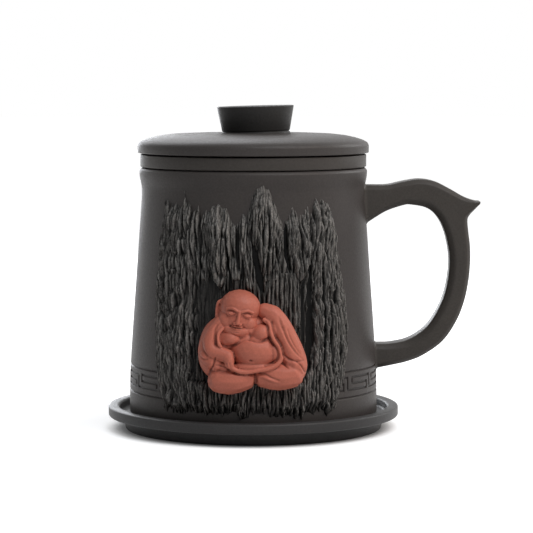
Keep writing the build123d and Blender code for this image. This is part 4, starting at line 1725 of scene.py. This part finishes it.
# folds, hems and fingers: across, height, depth and half width along each line
FOLDS: tuple[Path, ...] = (
    (
        (-11.6, 39.0, 0.3, 0.5), (-9.0, 38.3, 0.6, 0.5), (-6.6, 38.8, 0.6, 0.5), (-4.6, 40.0, 0.4, 0.5),
        (-2.6, 41.0, 0.3, 0.5),
    ),
    ((-1.9, 41.2, 0.4, 0.45), (1.1, 40.5, 0.7, 0.5), (3.6, 40.5, 0.8, 0.5), (6.1, 41.4, 0.6, 0.45)),
    ((-2.6, 43.4, 0.3, 0.7), (-0.9, 42.4, 0.6, 0.7), (-1.4, 41.2, 0.3, 0.7)),
    (
        (4.9, 47.6, 0.3, 0.4), (5.6, 45.6, 0.4, 0.4), (5.7, 43.2, 0.4, 0.4), (6.9, 40.2, 0.5, 0.4),
        (8.5, 38.0, 0.5, 0.4), (9.3, 35.8, 0.5, 0.4), (8.9, 33.8, 0.5, 0.4), (7.2, 32.3, 0.4, 0.4),
        (4.6, 31.4, 0.35, 0.4),
    ),
    (
        (7.2, 47.4, 0.4, 0.45), (7.9, 44.4, 0.5, 0.5), (9.0, 41.6, 0.6, 0.5), (10.7, 38.9, 0.7, 0.5),
        (11.4, 36.4, 0.8, 0.5), (12.0, 34.8, 0.8, 0.5), (14.0, 33.5, 0.8, 0.5), (16.6, 32.9, 0.6, 0.5),
        (18.8, 33.1, 0.3, 0.5),
    ),
    (
        (11.2, 45.6, 0.3, 0.4), (12.5, 42.1, 0.6, 0.45), (14.4, 38.6, 0.6, 0.45), (16.5, 35.8, 0.4, 0.45),
        (18.4, 33.9, 0.2, 0.4),
    ),
    ((13.1, 44.6, 0.2, 0.4), (14.3, 41.4, 0.45, 0.4), (16.0, 38.2, 0.4, 0.4), (17.8, 35.6, 0.2, 0.4)),
    ((10.0, 49.2, 0.2, 0.6), (10.6, 46.8, 0.4, 0.6), (11.2, 44.6, 0.2, 0.6)),
    ((16.6, 32.6, 0.4, 0.35), (18.3, 30.9, 0.6, 0.35), (19.5, 28.6, 0.4, 0.35)),
    ((11.0, 32.0, 0.3, 0.35), (12.2, 31.3, 0.7, 0.4), (13.2, 30.5, 0.3, 0.35)),
    ((2.6, 28.5, 0.2, 0.45), (4.6, 28.3, 0.45, 0.45), (7.2, 27.0, 0.5, 0.4), (9.8, 26.0, 0.2, 0.4)),
    ((3.0, 27.3, -0.2, 0.45), (5.2, 26.9, -0.45, 0.5), (7.6, 25.8, -0.4, 0.45), (9.9, 25.1, -0.15, 0.4)),
    ((1.1, 28.4, 0.2, 0.5), (1.2, 26.6, 0.6, 0.55), (1.1, 24.4, 0.8, 0.6), (1.1, 22.8, 0.8, 0.7)),
    ((-13.8, 34.2, 0.4, 0.4), (-14.5, 31.8, 0.8, 0.4), (-15.5, 29.5, 0.6, 0.4), (-16.4, 27.6, 0.4, 0.4)),
    (
        (-13.6, 31.6, 0.4, 0.4), (-11.4, 31.2, 0.5, 0.45), (-9.6, 30.1, 0.5, 0.45), (-8.0, 29.2, 0.5, 0.4),
        (-5.4, 28.2, 0.4, 0.4), (-2.4, 27.9, 0.35, 0.4), (0.6, 28.2, 0.2, 0.4),
    ),
    ((-12.9, 46.4, 0.3, 0.5), (-13.9, 44.4, 0.5, 0.5), (-13.9, 41.8, 0.5, 0.5), (-13.7, 39.4, 0.4, 0.45)),
    ((-20.0, 35.0, 0.2, 0.4), (-18.4, 33.6, 0.4, 0.4), (-16.8, 33.6, 0.3, 0.4)),
    ((-18.6, 39.6, 0.15, 0.5), (-18.2, 36.8, 0.4, 0.5), (-16.9, 34.9, 0.3, 0.5)),
    ((-9.6, 32.3, 0.35, 0.25), (-9.4, 30.9, 0.2, 0.25)),
    ((-8.4, 32.6, 0.35, 0.25), (-8.2, 31.0, 0.2, 0.25)),
    ((-7.2, 36.6, 0.2, 0.4), (-6.7, 34.6, 0.3, 0.4), (-6.8, 32.6, 0.3, 0.4), (-5.6, 31.1, 0.2, 0.4)),
    ((-0.9, 33.2, 0.7, 0.4), (-0.4, 33.2, 0.7, 0.4)),
)  # fmt: skip


@dataclass
class Monk:
    """Seated monk with a robe open over the belly, in smooth red clay.

    Attributes:
        grain: Size of the body's faces.
        head_grain: Size of the head's faces.
        skin: Stand of the cliff behind the figure.
        sunk: How deep the body reaches into the wall.
        head: Place across, stand and height of the head's middle.
        head_lean: Degrees that its top leans to the right.
        head_nod: Degrees that it nods forward.
    """

    grain: float = 0.27
    head_grain: float = 0.17
    skin: float = 1.0
    sunk: float = 1.6
    head: tuple[float, float, float] = (-4.8, 3.9, 50.9)
    head_lean: float = 10.0
    head_nod: float = 6.0

    def depth(self, height: float, front: float, radius: float) -> float:
        """Place across the depth of a pellet whose front stands out of the cliff by a size."""
        return -(WALL.at(height) + self.skin + front - radius)

    def build_body(self) -> Sculpture:
        """Model the robed body.

        Returns:
            The body, fused and carved.
        """
        work = Sculpture(self.grain)
        for lump in BODY:
            if isinstance(lump, Egg):
                place = (lump.x, self.depth(lump.z, lump.front, lump.half[1]), lump.z)
                work.pellet(place, lump.half, lump.lean)
            else:
                work.roll([(x, self.depth(z, front, radius), z, radius) for x, z, radius, front in lump])
        work.fuse(5)
        work.carve(FOLDS, 2)
        return work

    def build_head(self) -> Sculpture:
        """Model the bald head with long ears and a calm, plain face.

        Returns:
            The head in its own frame, fused and carved.
        """
        work = Sculpture(self.head_grain)
        work.pellet((0.0, 0.4, 1.5), (7.7, 6.9, 6.7))
        work.pellet((0.0, 0.0, -2.7), (7.8, 6.5, 5.2))
        work.roll(
            (
                (-6.2, -1.2, -4.6, 1.9), (-3.6, -4.0, -6.2, 1.9), (0.0, -4.9, -6.6, 1.9),
                (3.6, -4.0, -6.2, 1.9), (6.2, -1.2, -4.6, 1.9),
            ),
        )
        work.pellet((0.0, -6.2, -6.7), (1.9, 0.9, 1.0))
        for side in (-1.0, 1.0):
            work.pellet((side * 4.0, -3.4, -3.4), (3.3, 2.4, 2.9))
            work.pellet((side * 2.95, -5.75, -0.15), (1.65, 0.85, 0.95), side * 6.0)
            work.roll(
                (
                    (side * 0.9, -6.5, 1.3, 0.55), (side * 2.8, -6.1, 1.95, 0.55),
                    (side * 4.9, -4.8, 1.3, 0.45),
                ),
            )
            work.pellet((side * 1.1, -6.9, -3.4), (0.75, 0.8, 0.62))
            work.roll(
                (
                    (side * 7.2, 1.0, 2.6, 0.9),
                    (side * 8.1, 0.9, 1.6, 1.0),
                    (side * 8.2, 0.7, -0.8, 0.95),
                    (side * 7.8, 0.2, -3.2, 1.0),
                    (side * 7.6, -0.2, -5.6, 1.25),
                )
            )
        work.roll(((0.0, -6.4, 1.1, 0.7), (0.0, -6.95, -1.0, 0.75), (0.0, -7.35, -2.9, 0.95)), 9)
        work.roll(
            (
                (-2.1, -5.9, -4.75, 0.3), (-0.8, -6.5, -4.6, 0.45), (0.8, -6.5, -4.6, 0.45),
                (2.1, -5.9, -4.75, 0.3),
            ),
        )
        work.roll(((-1.6, -6.0, -5.3, 0.35), (0.0, -6.45, -5.45, 0.55), (1.6, -6.0, -5.3, 0.35)))
        work.fuse(4)
        lines: list[Path] = [
            (
                (-2.6, -4.8, 0.3, 0.3), (-1.1, -5.02, 0.5, 0.26), (0.0, -4.96, 0.5, 0.26),
                (1.1, -5.02, 0.5, 0.26), (2.6, -4.8, 0.3, 0.3),
            ),
            ((-1.0, -6.7, 0.25, 0.35), (1.0, -6.7, 0.25, 0.35)),
        ]
        for side in (-1.0, 1.0):
            lines += [
                (
                    (side * 1.45, -0.3, 0.25, 0.24), (side * 2.9, -0.85, 0.5, 0.26),
                    (side * 4.4, -0.3, 0.25, 0.24),
                ),
                ((side * 1.4, 0.7, 0.2, 0.3), (side * 2.9, 1.1, 0.3, 0.3), (side * 4.5, 0.6, 0.2, 0.3)),
                ((side * 1.9, -3.7, 0.25, 0.4), (side * 2.7, -4.8, 0.25, 0.4)),
                ((side * 7.9, 1.4, 0.4, 0.4), (side * 8.0, -0.6, 0.5, 0.4), (side * 7.7, -2.4, 0.3, 0.35)),
            ]
        work.carve(lines, 1)
        return work

    def build(self, clays: Clays) -> None:
        """Model, place and dress the body and the head.

        Args:
            clays: Every clay of the set.
        """
        clay = clays.monk.material()
        body = self.build_body().form
        for vert in body.verts:
            least = WALL.at(vert.co.z) - self.sunk
            reach = math.hypot(vert.co.x, vert.co.y)
            if reach < least:
                vert.co.x *= least / reach
                vert.co.y *= least / reach
        bmesh.ops.scale(body, vec=(MM, MM, MM), verts=body.verts)
        deliver(shown(body, "seated_monk_body", 180.0, 2.6), clay, Body.MUG, Slot.MONK, "seated_monk")
        head = self.build_head().form
        x, stand, z = self.head
        turn = Euler((math.radians(self.head_nod), math.radians(self.head_lean), 0.0)).to_matrix().to_4x4()
        place = Matrix.Translation((x, -(WALL.at(z) + self.skin + stand), z))
        bmesh.ops.transform(head, matrix=Matrix.Scale(MM, 4) @ place @ turn, verts=head.verts)
        deliver(shown(head, "seated_monk_head", 180.0, 2.2), clay, Body.MUG, Slot.MONK, "seated_monk")


# ---------------------------------------------------------------- studio


@dataclass(frozen=True)
class Softbox:
    """A soft lamp that points at the set's middle.

    Attributes:
        name: The lamp's name.
        turn: Degrees that it stands to the right of the front.
        rise: Degrees that it stands above the middle.
        size: Its width and height in metres.
        power: Its power in watts.
        colour: Its colour.
        away: Its distance in metres.
    """

    name: str
    turn: float
    rise: float
    size: tuple[float, float]
    power: float
    colour: Colour = (1.0, 1.0, 1.0)
    away: float = 0.9

    def hang(self, middle: Vector) -> None:
        """Put the lamp in the scene.

        Args:
            middle: Where it points, in metres.
        """
        lamp = bpy.data.lights.new(self.name, "AREA")
        lamp.shape = "RECTANGLE"
        lamp.size, lamp.size_y = self.size
        lamp.energy = self.power
        lamp.color = self.colour
        holder = bpy.data.objects.new(self.name, lamp)
        aim = Euler((math.radians(90.0 - self.rise), 0.0, math.radians(self.turn)))
        holder.rotation_euler = aim
        holder.location = middle + aim.to_matrix() @ Vector((0.0, 0.0, self.away))
        holder.visible_camera = False
        bpy.context.collection.objects.link(holder)


@dataclass
class Studio:
    """White table and surroundings, soft lamps and the camera.

    Attributes:
        ambient: Strength of the surroundings as light.
        glow: Share of white that the table keeps in a shadow.
        contact_shadow: Share of that which it keeps under the saucer's edge, a painted shadow line.
        near: Distance from the axis within which the table shows its shadows, in metres.
        far: Distance past which the table is plain white.
        contact_shadow_span: Distances over which that painted shadow line under the saucer's edge fades.
        paper: Grey of the table's own surface.
        lens: Focal length in mm on a sensor 36 mm wide.
        camera: Place of the camera.
        pitch: Degrees that it looks down.
        middle: Middle of the set.
        lamps: Every lamp.
    """

    ambient: float = 0.05
    glow: float = 0.64
    contact_shadow: float = 0.1
    near: float = 0.11
    far: float = 0.34
    contact_shadow_span: Point = (0.0504, 0.060)
    paper: float = 0.72
    lens: float = 163.54
    camera: tuple[float, float, float] = (0.0052, -0.950, 0.1415)
    pitch: float = 4.694
    middle: tuple[float, float, float] = (0.0, 0.0, 0.06)
    lamps: tuple[Softbox, ...] = (
        Softbox("key_softbox", 32.0, 50.0, (0.6, 0.6), 4.5, (0.90, 0.95, 1.0)),
        Softbox("right_softbox", 60.0, 38.0, (0.5, 0.6), 2.4, (1.0, 0.82, 0.70)),
        Softbox("rear_left_softbox", -160.0, 44.0, (0.6, 0.5), 2.8, (0.94, 0.96, 1.0)),
        Softbox("left_rim_softbox", -162.0, 9.0, (0.4, 0.3), 2.2, (0.92, 0.95, 1.0)),
        Softbox("right_rim_softbox", 118.0, 26.0, (0.4, 0.4), 2.4),
    )

    def build(self) -> None:
        """Set up the table, the surroundings, the lamps and the camera."""
        self.lay_table()
        self.light_surroundings()
        for lamp in self.lamps:
            lamp.hang(Vector(self.middle))
        view = bpy.data.cameras.new("main_view")
        view.lens = self.lens
        view.sensor_width = 36.0
        view.clip_start = 0.01
        holder = bpy.data.objects.new("main_view", view)
        holder.location = self.camera
        holder.rotation_euler = (math.radians(90.0 - self.pitch), 0.0, 0.0)
        bpy.context.collection.objects.link(holder)
        bpy.context.scene.camera = holder
        bpy.context.scene.view_settings.view_transform = "Standard"

    def looked_at(self, bench: NodeBench) -> bpy.types.NodeSocket:
        """Tell whether a ray comes from the camera, a mirror or glass.

        Args:
            bench: The bench of the material or world that asks.

        Returns:
            1 if it does, else 0.
        """
        rays = bench.add("LightPath")
        seen = rays.outputs["Is Camera Ray"]
        for kind in ("Is Glossy Ray", "Is Transmission Ray"):
            seen = bench.add("Math", {0: seen, 1: rays.outputs[kind]}, operation="MAXIMUM").outputs[0]
        return seen

    def lay_table(self) -> None:
        """Make the white table top, which keeps the set's shadow, with a painted shadow line under the saucer's
        edge.
        """
        form = bmesh.new()
        bmesh.ops.create_circle(form, cap_ends=True, segments=96, radius=6.0)
        mesh = bpy.data.meshes.new("white_table")
        form.to_mesh(mesh)
        form.free()
        table = bpy.data.objects.new("white_table", mesh)
        bpy.context.collection.objects.link(table)
        bench = NodeBench(bpy.data.materials.new("white_table"))
        place = bench.add("TexCoord").outputs["Object"]
        reach = bench.add("VectorMath", {0: place}, operation="LENGTH").outputs["Value"]
        # The added white is cut under the saucer's edge, which paints a dark shadow line there.
        glow = bench.product(
            bench.mapped(reach, self.near, self.far, self.glow, 1.0, interpolation_type="SMOOTHSTEP"),
            bench.mapped(reach, *self.contact_shadow_span, self.contact_shadow, 1.0, interpolation_type="SMOOTHSTEP"),
        )
        paper = bench.add("BsdfDiffuse", {"Color": (self.paper, self.paper, self.paper, 1.0)})
        light = bench.add("Emission", {"Strength": bench.product(self.looked_at(bench), glow)})
        both = bench.add("AddShader", {0: paper.outputs[0], 1: light.outputs[0]})
        bench.add("OutputMaterial", {"Surface": both.outputs[0]})
        mesh.materials.append(bench.holder)

    def light_surroundings(self) -> None:
        """Give even light all round, white where it is looked at."""
        world = bpy.data.worlds.new("white_surroundings")
        bpy.context.scene.world = world
        bench = NodeBench(world)
        strength = bench.mapped(self.looked_at(bench), 0.0, 1.0, self.ambient, 1.0)
        white = bench.add("Background", {"Color": (1.0, 1.0, 1.0, 1.0), "Strength": strength})
        bench.add("OutputWorld", {"Surface": white.outputs[0]})


def main() -> None:
    """Build the set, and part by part."""
    logging.basicConfig(level=logging.INFO, format="%(message)s")
    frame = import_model()
    clays = Clays()
    Studio().build()
    Saucer().build(clays)
    MugWall(KeyFret()).build(clays)
    Handle().build(clays)
    Cliff().build(clays)
    Monk().build(clays)
    Infuser().build(clays)
    Lid().build(clays)
    for name, clay in (("mug_floor", clays.mug), ("infuser_strainer", clays.infuser)):
        node = frame["nodes"][name]
        node.data.materials.clear()
        node.data.materials.append(clay.material())


if __name__ == "__main__":
    main()
